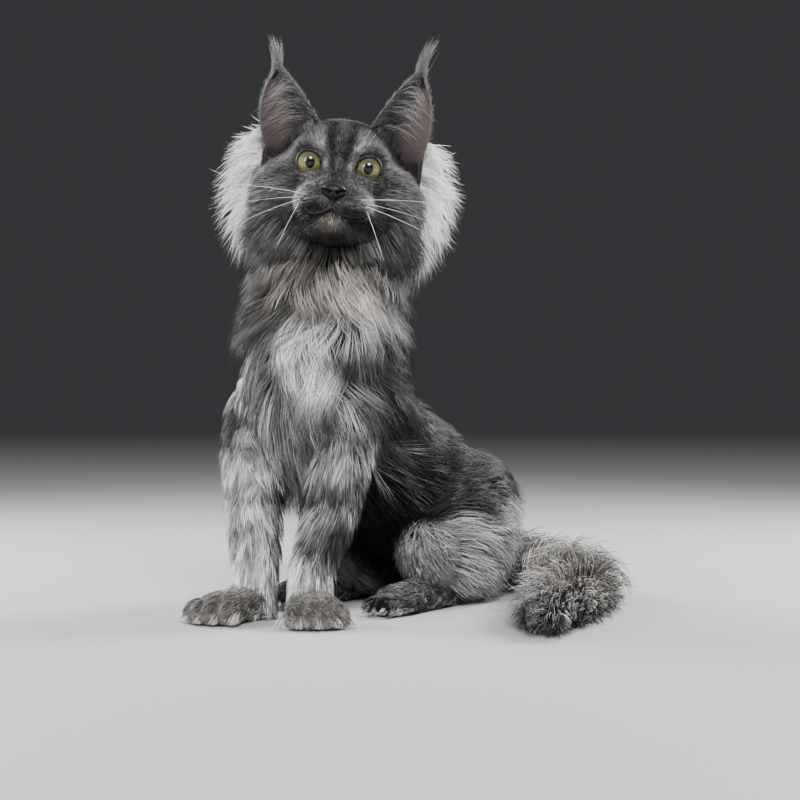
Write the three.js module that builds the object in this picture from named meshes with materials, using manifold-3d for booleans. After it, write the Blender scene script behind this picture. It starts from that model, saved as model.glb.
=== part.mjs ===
// A young maine coon cat, sitting upright in its winter coat, life size.
// Millimetres, +Z up. The face looks along -Y, and the cat's own left side is towards +X.
import * as THREE from "three";
import { mergeVertices } from "three/addons/utils/BufferGeometryUtils.js";
import Module from "manifold-3d";

const wasm = await Module();
wasm.setup();

const v = (x, y, z) => new THREE.Vector3(x, y, z);
const degrees = THREE.MathUtils.degToRad;
const SIDES = { left: 1, right: -1 };

// Driving dimensions.
const EYE_SPACING = 45.4; // pupil to pupil, which sets the scale of the whole cat
const EYE_LEVEL = 352; // height of the eyes over the floor
const GAP = 0.35; // clear space kept between two neighbouring pieces
const CORE_SHARE = 0.42; // how far a long coat's solid core reaches towards its tips
const ROOT_DEPTH = 6; // how far a lock's root is sunk into the core
const RUMP = v(80, 175, 0); // floor point under the seat
const TRUNK_TURN = 31; // degrees by which the hindquarters point to the cat's right of the face
const HEAD_TILT = 6.4; // degrees by which the head leans to its own left
const HEAD_LIFT = 3; // degrees by which the chin is raised

// Solids and surfaces.

// Turns any closed three.js geometry into a solid, whichever way its faces run.
function solidOf(geometry) {
  const bare = new THREE.BufferGeometry();
  bare.setAttribute("position", geometry.getAttribute("position"));
  bare.setIndex(geometry.getIndex());
  const merged = mergeVertices(bare, 1e-3);
  const triVerts = new Uint32Array(merged.index.array);
  const vertProperties = new Float32Array(merged.getAttribute("position").array);
  const made = new wasm.Manifold(new wasm.Mesh({ numProp: 3, vertProperties, triVerts }));
  if (made.volume() > 0) return made;
  for (let i = 0; i < triVerts.length; i += 3) {
    [triVerts[i + 1], triVerts[i + 2]] = [triVerts[i + 2], triVerts[i + 1]];
  }
  return new wasm.Manifold(new wasm.Mesh({ numProp: 3, vertProperties, triVerts }));
}

// The vertices and triangles of a solid, as a geometry with smooth normals.
function geometryOf(solid) {
  const mesh = solid.getMesh();
  const positions = new Float32Array(mesh.numVert * 3);
  for (let i = 0; i < mesh.numVert; i++) {
    const start = i * mesh.numProp;
    positions.set(mesh.vertProperties.subarray(start, start + 3), i * 3);
  }
  const made = new THREE.BufferGeometry();
  made.setAttribute("position", new THREE.BufferAttribute(positions, 3));
  made.setIndex(new THREE.BufferAttribute(new Uint32Array(mesh.triVerts), 1));
  made.computeVertexNormals();
  return made;
}

// The largest closed surface of a solid, with no sealed hollow and no loose scrap.
function largest(solid) {
  const bodies = solid.decompose();
  return bodies.reduce((best, one) => (one.volume() > best.volume() ? one : best));
}

const joined = (solids) => wasm.Manifold.union(solids);

// A closed surface over rings of points, with a fan over each end ring, the last one up to a tip.
function skinOver(rings, tip) {
  const count = rings[0].length;
  const points = rings.flat();
  const middle = (ring) => ring.reduce((sum, p) => sum.add(p), v(0, 0, 0)).divideScalar(ring.length);
  const first = points.push(middle(rings[0])) - 1;
  const last = points.push(tip ?? middle(rings.at(-1))) - 1;
  const end = (rings.length - 1) * count;
  const index = [];
  for (let i = 0; i < count; i++) {
    const j = (i + 1) % count;
    for (let row = 0; row < end; row += count) {
      const [a, b, c, d] = [row + i, row + j, row + count + i, row + count + j];
      index.push(a, b, c, b, d, c);
    }
    index.push(first, j, i, last, end + i, end + j);
  }
  const made = new THREE.BufferGeometry().setFromPoints(points);
  made.setIndex(index);
  return made;
}

// A flat tapered lock of coat through its points, which end at the tip, facing out of the body. Its
// section is a low ridge on a flat back, and grow moves its faces out by that distance.
const LOCK_STEPS = [0, 0.5, 1];
const LOCK_WIDTHS = [0.8, 1];
function lock(path, outs, width, thick, grow) {
  const along = path.map((point, i) =>
    path[Math.min(i + 1, path.length - 1)].clone().sub(path[Math.max(0, i - 1)]).normalize(),
  );
  const rings = LOCK_WIDTHS.map((share, i) => {
    const across = along[i].clone().cross(outs[i]).normalize();
    const out = across.clone().cross(along[i]);
    const [half, rise] = [(width * share) / 2, thick * share];
    const slope = Math.hypot(half, rise) * grow;
    const back = path[i].clone().addScaledVector(along[i], i ? 0 : -grow).addScaledVector(out, -rise / 2 - grow);
    const reach = half + (slope + half * grow) / rise;
    return [
      back.clone().addScaledVector(across, reach),
      back.clone().addScaledVector(out, rise + grow + slope / half),
      back.clone().addScaledVector(across, -reach),
    ];
  });
  return solidOf(skinOver(rings, path.at(-1).clone().addScaledVector(along.at(-1), grow * 5)));
}

// A repeatable draw of numbers from -1 to 1.
function seeded(seed) {
  let state = seed;
  return () => {
    state = (state * 1664525 + 1013904223) % 4294967296;
    return (state / 4294967296) * 2 - 1;
  };
}

// A closed sheet between two grids of points, split into triangles alike on both faces.
function sheetBetween(front, back) {
  const [rows, columns] = [front.length, front[0].length];
  const at = (face, r, c) => (face * rows + r) * columns + c;
  const index = [];
  for (let r = 0; r < rows - 1; r++) {
    for (let c = 0; c < columns - 1; c++) {
      const [p, q, s, t] = [at(0, r, c), at(0, r, c + 1), at(0, r + 1, c), at(0, r + 1, c + 1)];
      const other = rows * columns;
      index.push(p, q, s, q, t, s);
      index.push(p + other, s + other, q + other, q + other, s + other, t + other);
    }
  }
  const rim = [
    ...Array.from({ length: columns - 1 }, (_, c) => [0, c]),
    ...Array.from({ length: rows - 1 }, (_, r) => [r, columns - 1]),
    ...Array.from({ length: columns - 1 }, (_, c) => [rows - 1, columns - 1 - c]),
    ...Array.from({ length: rows - 1 }, (_, r) => [rows - 1 - r, 0]),
  ];
  rim.forEach(([r, c], i) => {
    const [r2, c2] = rim[(i + 1) % rim.length];
    index.push(at(0, r, c), at(1, r, c), at(0, r2, c2));
    index.push(at(0, r2, c2), at(1, r, c), at(1, r2, c2));
  });
  const made = new THREE.BufferGeometry().setFromPoints([...front.flat(), ...back.flat()]);
  made.setIndex(index);
  return made;
}

// A rounded length of body: oval rings set square to a smooth line through its stations. A station is
// [point, half width, half depth, coat, turn]. The coat adds to both halves, and the turn is the heading
// of the width, in degrees from +X towards the front.
class Limb {
  constructor(stations) {
    this.line = new THREE.CatmullRomCurve3(stations.map((s) => s[0]));
    this.halves = new THREE.CatmullRomCurve3(stations.map((s) => v(s[1], s[2], s[3])));
    this.turns = new THREE.CatmullRomCurve3(stations.map((s) => v(s[4], 0, 0)));
    this.length = this.line.getLength();
  }
  // The point at a share of the length and an angle round it, a share of the coat's depth off the skin.
  // Past either end the line runs straight on.
  point(place, angle, share = CORE_SHARE, grow = 0) {
    const held = THREE.MathUtils.clamp(place, 0, 1);
    const t = this.line.getUtoTmapping(held);
    const along = this.line.getTangent(t);
    const middle = this.line.getPoint(t).addScaledVector(along, (place - held) * this.length);
    const turn = degrees(this.turns.getPoint(t).x);
    const wide = v(Math.cos(turn), -Math.sin(turn), 0);
    wide.addScaledVector(along, -wide.dot(along)).normalize();
    const deep = along.clone().cross(wide);
    const half = this.halves.getPoint(t);
    const off = share * half.z + grow;
    return middle
      .addScaledVector(wide, Math.cos(angle) * (half.x + off))
      .addScaledVector(deep, Math.sin(angle) * (half.y + off));
  }
  // The closed core between two shares of the length.
  core(grow, { rings = 10, sides = 16, from = 0, to = 1 } = {}) {
    const ring = (place) =>
      Array.from({ length: sides }, (_, i) => this.point(place, (i / sides) * 2 * Math.PI, CORE_SHARE, grow));
    const [start, end] = [from - grow / this.length, to + grow / this.length];
    return solidOf(skinOver(Array.from({ length: rings + 1 }, (_, r) => ring(start + ((end - start) * r) / rings))));
  }
  // A lock rooted in the core, bending with the body as it rises to its share of the coat's depth.
  lock(grow, place, angle, { length, width, thick, sweep, rise }) {
    const depth = this.halves.getPoint(this.line.getUtoTmapping(Math.min(place, 1))).z;
    const climb = rise - CORE_SHARE;
    const shares = [-ROOT_DEPTH / depth, climb * 0.6, climb].map((s) => CORE_SHARE + s);
    const at = (u, share) => this.point(place + (u * length) / this.length, angle + u * sweep, share);
    const path = LOCK_STEPS.map((u, i) => at(u, shares[i]));
    const outs = LOCK_STEPS.map((u, i) => at(u, shares[i] + 1).sub(path[i]).normalize());
    return lock(path, outs, width, thick, grow);
  }
  // Rows of locks round the body, each row half a step round from the last.
  locks(grow, { from, to, rows, round, arc = [0, 360], length, width, thick = 4, sweep = 0, rise = 1, seed }) {
    const draw = seeded(seed);
    const made = [];
    for (let row = 0; row < rows; row++) {
      const place = rows > 1 ? from + ((to - from) * row) / (rows - 1) : from;
      for (let i = 0; i < round; i++) {
        const share = (i + 0.25 + 0.5 * (row % 2) + 0.12 * draw()) / round;
        const angle = degrees(arc[0] + (arc[1] - arc[0]) * share);
        made.push(this.lock(grow, place + (0.1 * draw() * length) / this.length, angle, {
          length: length * (1 + 0.16 * draw()),
          width: width * (1 + 0.12 * draw()),
          thick,
          sweep: degrees(sweep + 6 * draw()),
          rise: rise * (1 + 0.06 * draw()),
        }));
      }
    }
    return made;
  }
}

// An egg-shaped piece with its long way turned about the upright axis.
function egg(middle, halves, turn = 0, [across, down] = [16, 10]) {
  const ball = new THREE.SphereGeometry(1, across, down);
  ball.scale(...halves).rotateZ(-degrees(turn)).translate(middle.x, middle.y, middle.z);
  return solidOf(ball);
}

// A cord of a few sides through a list of points.
function cord(points, radius, steps = 7, sides = 5) {
  const corner = (i) => {
    const a = (i / sides) * 2 * Math.PI;
    return new THREE.Vector2(Math.cos(a) * radius, Math.sin(a) * radius);
  };
  const section = new THREE.Shape(Array.from({ length: sides }, (_, i) => corner(i)));
  const extrudePath = new THREE.CatmullRomCurve3(points);
  return solidOf(new THREE.ExtrudeGeometry(section, { steps, extrudePath, bevelEnabled: false }));
}

// The cat, and the pieces that are already made and have to stay clear of the next ones.
const cat = new THREE.Group();
const placed = [];

function addPiece(name, solid, colour, roughness = 0.85, parent = cat) {
  const material = new THREE.MeshStandardMaterial({ color: colour, roughness, metalness: 0 });
  const mesh = new THREE.Mesh(geometryOf(solid), material);
  mesh.name = name;
  parent.add(mesh);
}

const floorBlock = solidOf(new THREE.BoxGeometry(1200, 1200, 200).translate(0, 0, -100));

// Makes a piece, cuts it clear of the floor and of every piece placed before it, and places it. The maker
// takes the distance by which all that it joins is grown, which gives the clearance round the piece.
function settle(name, make, colour) {
  let kept = joined(make(0)).subtract(floorBlock);
  for (const other of placed) kept = kept.subtract(other);
  addPiece(name, largest(kept), colour);
  placed.push(joined(make(GAP)));
}

// Head. Its own frame has the origin between and behind the eyes, with the face towards -Y.
const EYE = { x: EYE_SPACING / 2, y: -30, z: 2, radius: 11 };
const headGroup = new THREE.Group();
headGroup.position.set(0, 0, EYE_LEVEL - EYE.z);
headGroup.rotation.set(-degrees(HEAD_LIFT), degrees(HEAD_TILT), 0, "YXZ");
headGroup.updateMatrix();
cat.add(headGroup);
const inBody = (solid) => solid.transform(headGroup.matrix.elements);

// Each lump of the head: middle and half sizes. One that is off the middle also stands mirrored.
const LUMPS = [
  { name: "skull", at: [0, 12, 6], half: [46, 44, 37] },
  { name: "forehead", at: [0, -12, 14], half: [31, 30, 24] },
  { name: "eye surround", at: [22, -22, 1], half: [17, 16, 15] },
  { name: "brow", at: [20, -30, 14], half: [13, 10, 6] },
  { name: "cheek", at: [32, -2, -22], half: [29, 34, 29] },
  { name: "jowl", at: [23, -14, -38], half: [24, 28, 19] },
  { name: "bridge", at: [0, -37, -8], half: [11, 26, 14] },
  { name: "nose tip", at: [0, -59, -24], half: [9, 11, 8] },
  { name: "whisker pad", at: [14, -53, -31.5], half: [15.5, 16.5, 10] },
  { name: "muzzle", at: [0, -40, -30], half: [26, 26, 19] },
  { name: "chin", at: [0, -45, -49], half: [14, 15, 10] },
  { name: "jaw", at: [0, -24, -44], half: [27, 30, 16] },
];
const LUMP_BLEND = 4; // how softly two lumps run into each other

// About how far a point is outside the blended lumps.
function headField(p) {
  let total = 0;
  for (const { at, half } of LUMPS) {
    for (const side of at[0] ? [1, -1] : [1]) {
      const d = [p.x - side * at[0], p.y - at[1], p.z - at[2]];
      const near = Math.hypot(...d.map((c, i) => c / half[i]));
      const steep = Math.hypot(...d.map((c, i) => c / half[i] ** 2));
      total += Math.exp((-near * (near - 1)) / Math.max(steep, 1e-6) / LUMP_BLEND);
    }
  }
  return -LUMP_BLEND * Math.log(total);
}

// The place where a straight way from inside the head to outside it crosses the surface.
function headCrossing(inside, outside) {
  const [near, far] = [inside.clone(), outside.clone()];
  for (let i = 0; i < 22; i++) {
    const mid = near.clone().add(far).multiplyScalar(0.5);
    (headField(mid) < 0 ? near : far).copy(mid);
  }
  return near;
}
const facePoint = (x, z) => headCrossing(v(x * 0.6, -20, z * 0.8), v(x, -100, z));

function headCore(grow) {
  const shape = new THREE.SphereGeometry(1, 28, 22).rotateX(Math.PI / 2);
  const at = shape.getAttribute("position");
  for (let i = 0; i < at.count; i++) {
    const way = v(at.getX(i), at.getY(i), at.getZ(i)).normalize();
    const point = headCrossing(v(0, 0, -6), way.clone().multiplyScalar(120)).addScaledVector(way, grow);
    at.setXYZ(i, point.x, point.y, point.z);
  }
  return solidOf(shape);
}

// Eyes, each in its socket between two lids.
const LID = { wide: 9.8, high: 8.6, thick: 1.4, slant: 19, out: 2 };
const eyeMiddle = (side) => v(side * EYE.x, EYE.y, EYE.z);

// A point on the ring of the lid edges, seen from the eye, at an angle round it.
function lidPoint(side, angle) {
  const [x, z] = [Math.cos(angle) * LID.wide, Math.sin(angle) * LID.high];
  const onEye = v(x, -Math.sqrt((EYE.radius + 0.6) ** 2 - x * x - z * z), z);
  onEye.applyAxisAngle(v(0, 1, 0), -side * degrees(LID.slant));
  return onEye.applyAxisAngle(v(0, 0, 1), side * degrees(LID.out)).add(eyeMiddle(side));
}

function lids(side) {
  const ring = new THREE.TorusGeometry(1, 0.3, 5, 12);
  const at = ring.getAttribute("position");
  for (let i = 0; i < at.count; i++) {
    const angle = Math.atan2(at.getY(i), at.getX(i));
    const middle = lidPoint(side, angle);
    const out = middle.clone().sub(eyeMiddle(side)).normalize();
    const along = lidPoint(side, angle + 0.05).sub(lidPoint(side, angle - 0.05)).normalize();
    const across = along.clone().cross(out);
    const away = (Math.hypot(at.getX(i), at.getY(i)) - 1) / 0.3;
    middle.addScaledVector(across, away * LID.thick).addScaledVector(out, (at.getZ(i) / 0.3) * LID.thick);
    at.setXYZ(i, middle.x, middle.y, middle.z);
  }
  return solidOf(ring);
}

function eyeOpening(side) {
  const cone = new THREE.CylinderGeometry(0.9, 1.25, 16, 12);
  cone.translate(0, -8 - EYE.radius * 0.4, 0).scale(LID.wide * 0.98, 1, LID.high * 0.98);
  cone.rotateY(-side * degrees(LID.slant)).rotateZ(side * degrees(LID.out));
  const middle = eyeMiddle(side);
  return solidOf(cone.translate(middle.x, middle.y, middle.z));
}

// Nose leather: a rounded pad, broad above and narrow below, with a nostril in each side.
const NOSE = { z: -25.5, wide: 10, high: 6.6, deep: 6 };
function nosePad(grow) {
  const pad = new THREE.SphereGeometry(1, 12, 8);
  const at = pad.getAttribute("position");
  const front = facePoint(0, NOSE.z).y;
  for (let i = 0; i < at.count; i++) {
    const z = at.getZ(i);
    const narrow = z < 0 ? 1 + 0.55 * z : 1;
    const [x, y] = [at.getX(i) * (NOSE.wide * narrow + grow), at.getY(i) * (NOSE.deep + grow)];
    at.setXYZ(i, x, y, z * (NOSE.high + grow));
  }
  return solidOf(pad.translate(0, front + NOSE.deep * 0.55, NOSE.z));
}
function nostril(side) {
  const front = facePoint(0, NOSE.z).y;
  const points = [v(side * 3, front - 3, NOSE.z - 1.6), v(side * 5.2, front - 1, NOSE.z - 0.4)];
  points.push(v(side * 8.6, front + 4.5, NOSE.z + 1.2));
  return cord(points, 1.3, 4);
}

// Mouth: the split under the nose and the line that curves up to each corner, over the lower lip.
const MOUTH = { split: -37, corner: [24, -39.5], dip: -41.5 };
function mouthLine(side, drop = 0) {
  const curve = [
    [0, MOUTH.split],
    [side * 8, MOUTH.dip],
    [side * 16, MOUTH.dip],
    [side * MOUTH.corner[0], MOUTH.corner[1]],
  ];
  return curve.map(([x, z]) => facePoint(x, z - drop));
}
const split = [NOSE.z - NOSE.high, (NOSE.z + MOUTH.split) / 2, MOUTH.split].map((z) => facePoint(0, z));

// Ears: a cupped shell between an inner and an outer edge, open to the front, sunk into the skull.
const EAR = {
  inner: [20, -3, 38],
  outer: [61, 6, 17],
  tip: { left: [54, 3, 90], right: [58, 3, 81] },
  sunk: 0.22,
  thick: 3,
  cup: 26,
  rows: 7,
  columns: 7,
};
// A point on one edge, from its root at 0 to the tip at 1, and a little below the root.
function earEdge(root, name, bulge, share) {
  const [base, tip] = [v(...root), v(...EAR.tip[name])];
  const point = base.lerp(tip, share);
  return point.add(v(...bulge).multiplyScalar(4 * Math.max(share, 0) * (1 - share)));
}
const earInner = (name, share) => earEdge(EAR.inner, name, [-1.5, -6, 1.5], share);
const earOuter = (name, share) => earEdge(EAR.outer, name, [9, -4, 0], share);
const mirrored = (name, point) => v(point.x * SIDES[name], point.y, point.z);

function earShell(name, grow) {
  const grid = (offset) =>
    Array.from({ length: EAR.rows }, (_, r) =>
      Array.from({ length: EAR.columns }, (_, c) => {
        const share = (r / (EAR.rows - 1)) * (0.98 + EAR.sunk) - EAR.sunk;
        const across = c / (EAR.columns - 1);
        const edge = Math.sign(across - 0.5) * grow * (c % (EAR.columns - 1) ? 0 : 1);
        const point = earInner(name, share).lerp(earOuter(name, share), across).add(v(edge, 0, 0));
        const cup = Math.sin(Math.PI * across) ** 0.8 * (1 - Math.max(share, 0)) ** 0.7;
        point.y += (EAR.cup + offset) * cup + offset;
        point.x += offset * (across - 0.5);
        return mirrored(name, point);
      }),
    );
  return solidOf(sheetBetween(grid(-grow), grid(EAR.thick + grow)));
}

// Long hairs from the inner edge of the ear over its opening, and the tuft at its tip.
const EAR_HAIRS = { shares: [0.14, 0.32, 0.5], climb: 0.12, bow: 7, width: 6, thick: 1.8 };
function earHairs(name, grow) {
  return EAR_HAIRS.shares.map((share, i) => {
    const past = i % 2 ? 1.12 : 0.9;
    const path = [-0.02, 0.5, past].map((u) => {
      const end = earOuter(name, share + EAR_HAIRS.climb);
      const point = earInner(name, share).lerp(end, u);
      point.y += EAR.thick / 2 - EAR_HAIRS.bow * Math.sin(Math.PI * THREE.MathUtils.clamp(u, 0, 1) ** 0.7);
      return mirrored(name, point);
    });
    return lock(path, path.map(() => v(0, -1, 0)), EAR_HAIRS.width, EAR_HAIRS.thick, grow);
  });
}
const TUFT = { rise: 24, out: 9, fan: [-2, 4], width: 7, thick: 3 };
function earTuft(name, grow) {
  return TUFT.fan.map((fan) => {
    const path = [-0.35, 0.4, 1 - Math.abs(fan) * 0.03].map((u) => {
      const curl = fan * Math.max(u, 0) ** 2;
      const point = v(...EAR.tip[name]).add(v(TUFT.out * u + curl, -u, TUFT.rise * u));
      return mirrored(name, point.add(v(0, EAR.thick / 2, 0)));
    });
    return lock(path, path.map(() => v(0, -1, 0)), TUFT.width, TUFT.thick, grow);
  });
}

// Cheek ruff: locks from the side of the face that sweep out and down, past the jaw, in two layers.
const RUFF = {
  locks: 5,
  layers: [{ y: 4, back: 10, reach: 0.95 }, { y: 16, back: 12, reach: 1 }],
  root: { top: 38, bottom: -34 },
  tip: { top: 20, bottom: -46 },
  reach: { top: 88, bottom: 104 },
  width: 30,
  thick: 6,
};
function ruff(side, grow) {
  const made = [];
  const draw = seeded(11);
  const middle = v(0, 0, -6);
  RUFF.layers.forEach((layer, row) => {
    for (let i = 0; i < RUFF.locks; i++) {
      const share = (i + 0.5 * row) / (RUFF.locks - 0.5);
      const between = ({ top, bottom }) => top + (bottom - top) * share;
      const reach = between(RUFF.reach) * layer.reach * (1 + 0.05 * draw());
      const start = degrees(between(RUFF.root));
      const toSide = v(side * Math.cos(start), layer.y / 60, Math.sin(start)).multiplyScalar(120);
      const root = headCrossing(middle, toSide);
      const rootRadius = Math.hypot(root.x, root.z - middle.z);
      const path = LOCK_STEPS.map((u) => {
        const angle = degrees(between(RUFF.root) + (between(RUFF.tip) - between(RUFF.root)) * u ** 1.4);
        const radius = rootRadius - ROOT_DEPTH + (reach - rootRadius + ROOT_DEPTH) * u;
        return v(side * Math.cos(angle) * radius, root.y + layer.back * u, middle.z + Math.sin(angle) * radius);
      });
      const width = RUFF.width * (1 + 0.12 * draw());
      made.push(lock(path, path.map(() => v(side * 0.35, -1, 0)), width, RUFF.thick, grow));
    }
  });
  return made;
}

// The head and all that sits in it.
const DARK = 0x4a4745;
const PALE = 0xb9b4b0;
const headMass = (grow) => joined([headCore(grow), ...ruff(1, grow), ...ruff(-1, grow)]);
const mouth = [1, -1].map((side) => cord(mouthLine(side), 1));
const lips = [1, -1].map((side) => cord(mouthLine(side, 2.4), 1.9));
const nostrils = joined([nostril(1), nostril(-1)]);
const eyeball = (side, grow) => {
  const radius = EYE.radius + grow;
  return egg(eyeMiddle(side), [radius, radius, radius], 0, [13, 10]);
};
let head = joined([headMass(0), lids(1), lids(-1), ...lips]);
head = head.subtract(joined([...mouth, cord(split, 0.8, 4), nosePad(GAP), nostrils]));
for (const side of Object.values(SIDES)) head = head.subtract(eyeOpening(side).add(eyeball(side, GAP)));
addPiece("head", largest(head), DARK, 0.85, headGroup);
addPiece("nose", largest(nosePad(0).subtract(nostrils)), 0x252221, 0.5, headGroup);
placed.push(inBody(headMass(GAP)));
for (const [name, side] of Object.entries(SIDES)) {
  addPiece(`eye_${name}`, eyeball(side, 0), 0x8f8d3a, 0.15, headGroup);
  const whole = (grow) => joined([earShell(name, grow), ...earHairs(name, grow), ...earTuft(name, grow)]);
  addPiece(`ear_${name}`, largest(whole(0).subtract(headMass(GAP))), 0x6d6562, 0.8, headGroup);
  placed.push(inBody(whole(GAP)));
}

// Neck and chest, with the mane in overlapping rows and a long tuft down between the forelegs.
const NECK = new Limb([
  [v(1, 16, 322), 38, 38, 22, 4],
  [v(-4, 24, 285), 40, 42, 28, 8],
  [v(-10, 30, 250), 43, 46, 29, 12],
  [v(-15, 34, 222), 47, 50, 28, 16],
]);
const CHEST = new Limb([
  [v(-15, 34, 221.4), 47, 50, 28, 16],
  [v(-16, 36, 195), 50, 54, 26, 20],
  [v(-10, 44, 165), 52, 56, 22, 24],
  [v(2, 60, 140), 52, 56, 18, 26],
]);
settle("neck", (grow) => [
  NECK.core(grow, { rings: 5, sides: 14 }),
  ...NECK.locks(grow, { from: 0.22, to: 0.8, rows: 3, round: 6, length: 60, width: 44, thick: 8, seed: 21 }),
], 0x5a5654);
settle("chest", (grow) => [
  CHEST.core(grow, { rings: 4, sides: 14 }),
  ...CHEST.locks(grow, {
    from: 0.2, to: 0.62, rows: 2, round: 6, arc: [-20, 200], length: 58, width: 36, thick: 8, seed: 31,
  }),
  ...CHEST.locks(grow, {
    from: 0.62, to: 0.86, rows: 2, round: 2, arc: [72, 108], length: 62, width: 30, thick: 7, rise: 1.3, seed: 32,
  }),
], PALE);

// Forelegs, each down to the wrist, and the paws with four toes.
const FORELEGS = {
  left: {
    stations: [
      [v(16, 36, 176), 20, 34, 12, -8],
      [v(0, 2, 124), 20, 25, 12, -8],
      [v(-8, -12, 80), 16, 17, 11, -8],
      [v(-21, -28, 36), 13, 14, 9, -8],
      [v(-22, -34, 16), 13, 14, 8, -8],
    ],
    wrist: v(-21, -30, 0),
    heading: -8,
  },
  right: {
    stations: [
      [v(-58, 44, 178), 20, 34, 12, 40],
      [v(-68, 34, 124), 20, 25, 12, 40],
      [v(-68, 14, 80), 16, 17, 11, 40],
      [v(-66, -4, 36), 13, 14, 9, 40],
      [v(-67, -8, 16), 13, 14, 8, 40],
    ],
    wrist: v(-68, -8, 0),
    heading: 40,
  },
};
const PAW = {
  toes: [-17, -6, 6, 17],
  reach: [46, 52, 52, 45],
  tufts: [[-22, 42], [0, 53], [22, 42]],
};

// A place beside and ahead of a point, with the heading given in degrees to the cat's right.
function ahead(from, heading, forward, side, z) {
  const turn = degrees(heading);
  return v(
    from.x - Math.sin(turn) * forward + Math.cos(turn) * side,
    from.y - Math.cos(turn) * forward - Math.sin(turn) * side,
    z,
  );
}

// Tufts between and beside the toes. Each is [side, reach]: it points ahead, and away from the middle.
function toeTufts(from, heading, places, grow) {
  return places.map(([side, reach]) => {
    const path = [-0.5, 0.4, 1].map((u) => {
      const [forward, out] = [reach + 13 * u, side * (1 + 0.35 * Math.max(u, 0))];
      return ahead(from, heading, forward, out, 8 - 5 * Math.max(u, 0));
    });
    return lock(path, path.map(() => v(0, 0, 1)), 9, 5, grow);
  });
}

function paw(from, heading, grow) {
  const grown = (halves) => halves.map((half) => half + grow);
  const toes = PAW.toes.map((side, i) => {
    const middle = ahead(from, heading, PAW.reach[i] - 5, side, 9.5);
    return egg(middle, grown([8, 14, 10]), heading - side * 0.6, [8, 5]);
  });
  const back = egg(ahead(from, heading, 10, 0, 14), grown([19, 22, 15]), heading, [9, 6]);
  const front = egg(ahead(from, heading, 30, 0, 12), grown([23, 22, 13.5]), heading, [9, 6]);
  return [back, front, ...toes, ...toeTufts(from, heading, PAW.tufts, grow)];
}

for (const name of Object.keys(SIDES)) {
  const { stations, wrist, heading } = FORELEGS[name];
  settle(`forepaw_${name}`, (grow) => paw(wrist, heading, grow), 0x8c857e);
  const leg = new Limb(stations);
  settle(`foreleg_${name}`, (grow) => [
    leg.core(grow, { rings: 7, sides: 10 }),
    ...leg.locks(grow, { from: 0.22, to: 0.7, rows: 2, round: 4, length: 58, width: 32, thick: 6, rise: 0.95, seed: 41 }),
  ], PALE);
}

// Hindquarters: a thigh and a long foot on each side, and the trunk between them and the chest.
const HAUNCH = [
  [-11, 38, 62, 26, 48, 14],
  [16, 42, 66, 34, 58, 16],
  [54, 46, 62, 34, 52, 16],
  [87, 47.6, 56, 28, 38, 14],
  [107, 47, 50, 14, 20, 14],
]; // each is forward of the rump, out to the side, height, half width, half depth and coat
// Long hair on the back and outer side of the thigh, lying down and back to the floor.
function britches(thigh, side, grow) {
  const arc = side > 0 ? [-60, 130] : [50, 240];
  const rows = { from: 0.1, to: 0.62, rows: 2, round: 4 };
  return thigh.locks(grow, { ...rows, arc, length: 64, width: 40, thick: 7, seed: 51 });
}
const HINDFOOT = [
  [46, 49, 12, 12, 13, 1],
  [80, 49, 12, 12, 13, 1],
  [120, 49, 12, 15, 13, 1],
  [150, 49, 11, 18, 12, 1],
  [166, 49, 9, 11, 9, 1],
];
const limbFrom = (rows, side) =>
  new Limb(rows.map(([forward, out, z, wide, deep, coat]) => [
    ahead(RUMP, TRUNK_TURN, forward, side * out, z), wide, deep, coat, TRUNK_TURN,
  ]));
for (const [name, side] of Object.entries(SIDES)) {
  const toe = ahead(RUMP, TRUNK_TURN, 0, side * HINDFOOT[0][1], 0);
  settle(`hindfoot_${name}`, (grow) => [
    limbFrom(HINDFOOT, side).core(grow, { rings: 7, sides: 10 }),
    ...toeTufts(toe, TRUNK_TURN, [[-6, 162], [7, 162]], grow),
  ], 0x6a6360);
  const thigh = limbFrom(HAUNCH, side);
  settle(`haunch_${name}`, (grow) => [
    thigh.core(grow, { rings: 6, sides: 12 }),
    ...britches(thigh, side, grow),
  ], 0x6f6b69);
}
const TORSO = new Limb([
  [v(2, 60, 139.6), 52, 56, 18, 26],
  [v(30, 100, 110), 54, 60, 18, 30],
  [v(60, 145, 82), 58, 60, 18, 31],
  [v(80, 175, 62), 56, 54, 18, 31],
  [v(92, 196, 50), 36, 36, 14, 31],
]);
settle("torso", (grow) => [
  TORSO.core(grow, { rings: 5, sides: 12 }),
  ...TORSO.locks(grow, { from: 0.14, to: 0.78, rows: 3, round: 5, arc: [160, 380], length: 72, width: 46, thick: 8, seed: 61 }),
], 0x2c2a2b);

// Tail, laid on the floor round to the front, in four lengths.
const TAIL = new Limb([
  [v(100, 203, 42), 13, 11, 26, 31],
  [v(138, 228, 30), 14, 6, 34, -10],
  [v(174, 210, 23), 14, 2, 36, -60],
  [v(194, 160, 20), 14, 0, 38, -90],
  [v(197, 105, 19), 13, 0, 39, -90],
  [v(190, 45, 19), 12, 0, 40, -96],
  [v(177, -15, 19), 11, 0, 38, -102],
  [v(165, -72, 18), 9, 0, 31, -104],
  [v(157, -124, 14), 3, 0, 16, -106],
]);
const TAIL_NODES = { tail_base: 0.25, tail_mid_1: 0.5, tail_mid_2: 0.75, tail_tip: 1 };
let start = 0;
Object.entries(TAIL_NODES).forEach(([name, end], i) => {
  const last = end === 1;
  const from = start;
  settle(name, (grow) => [
    TAIL.core(grow, { rings: 3, sides: 10, from: from + GAP / TAIL.length, to: last ? 0.97 : end }),
    ...TAIL.locks(grow, {
      from: from + 0.03,
      to: end - 0.11,
      rows: 2,
      round: 6,
      length: 72,
      width: 36,
      thick: 7,
      seed: 71 + i,
    }),
  ], 0x8b8583);
  start = end;
});

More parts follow.
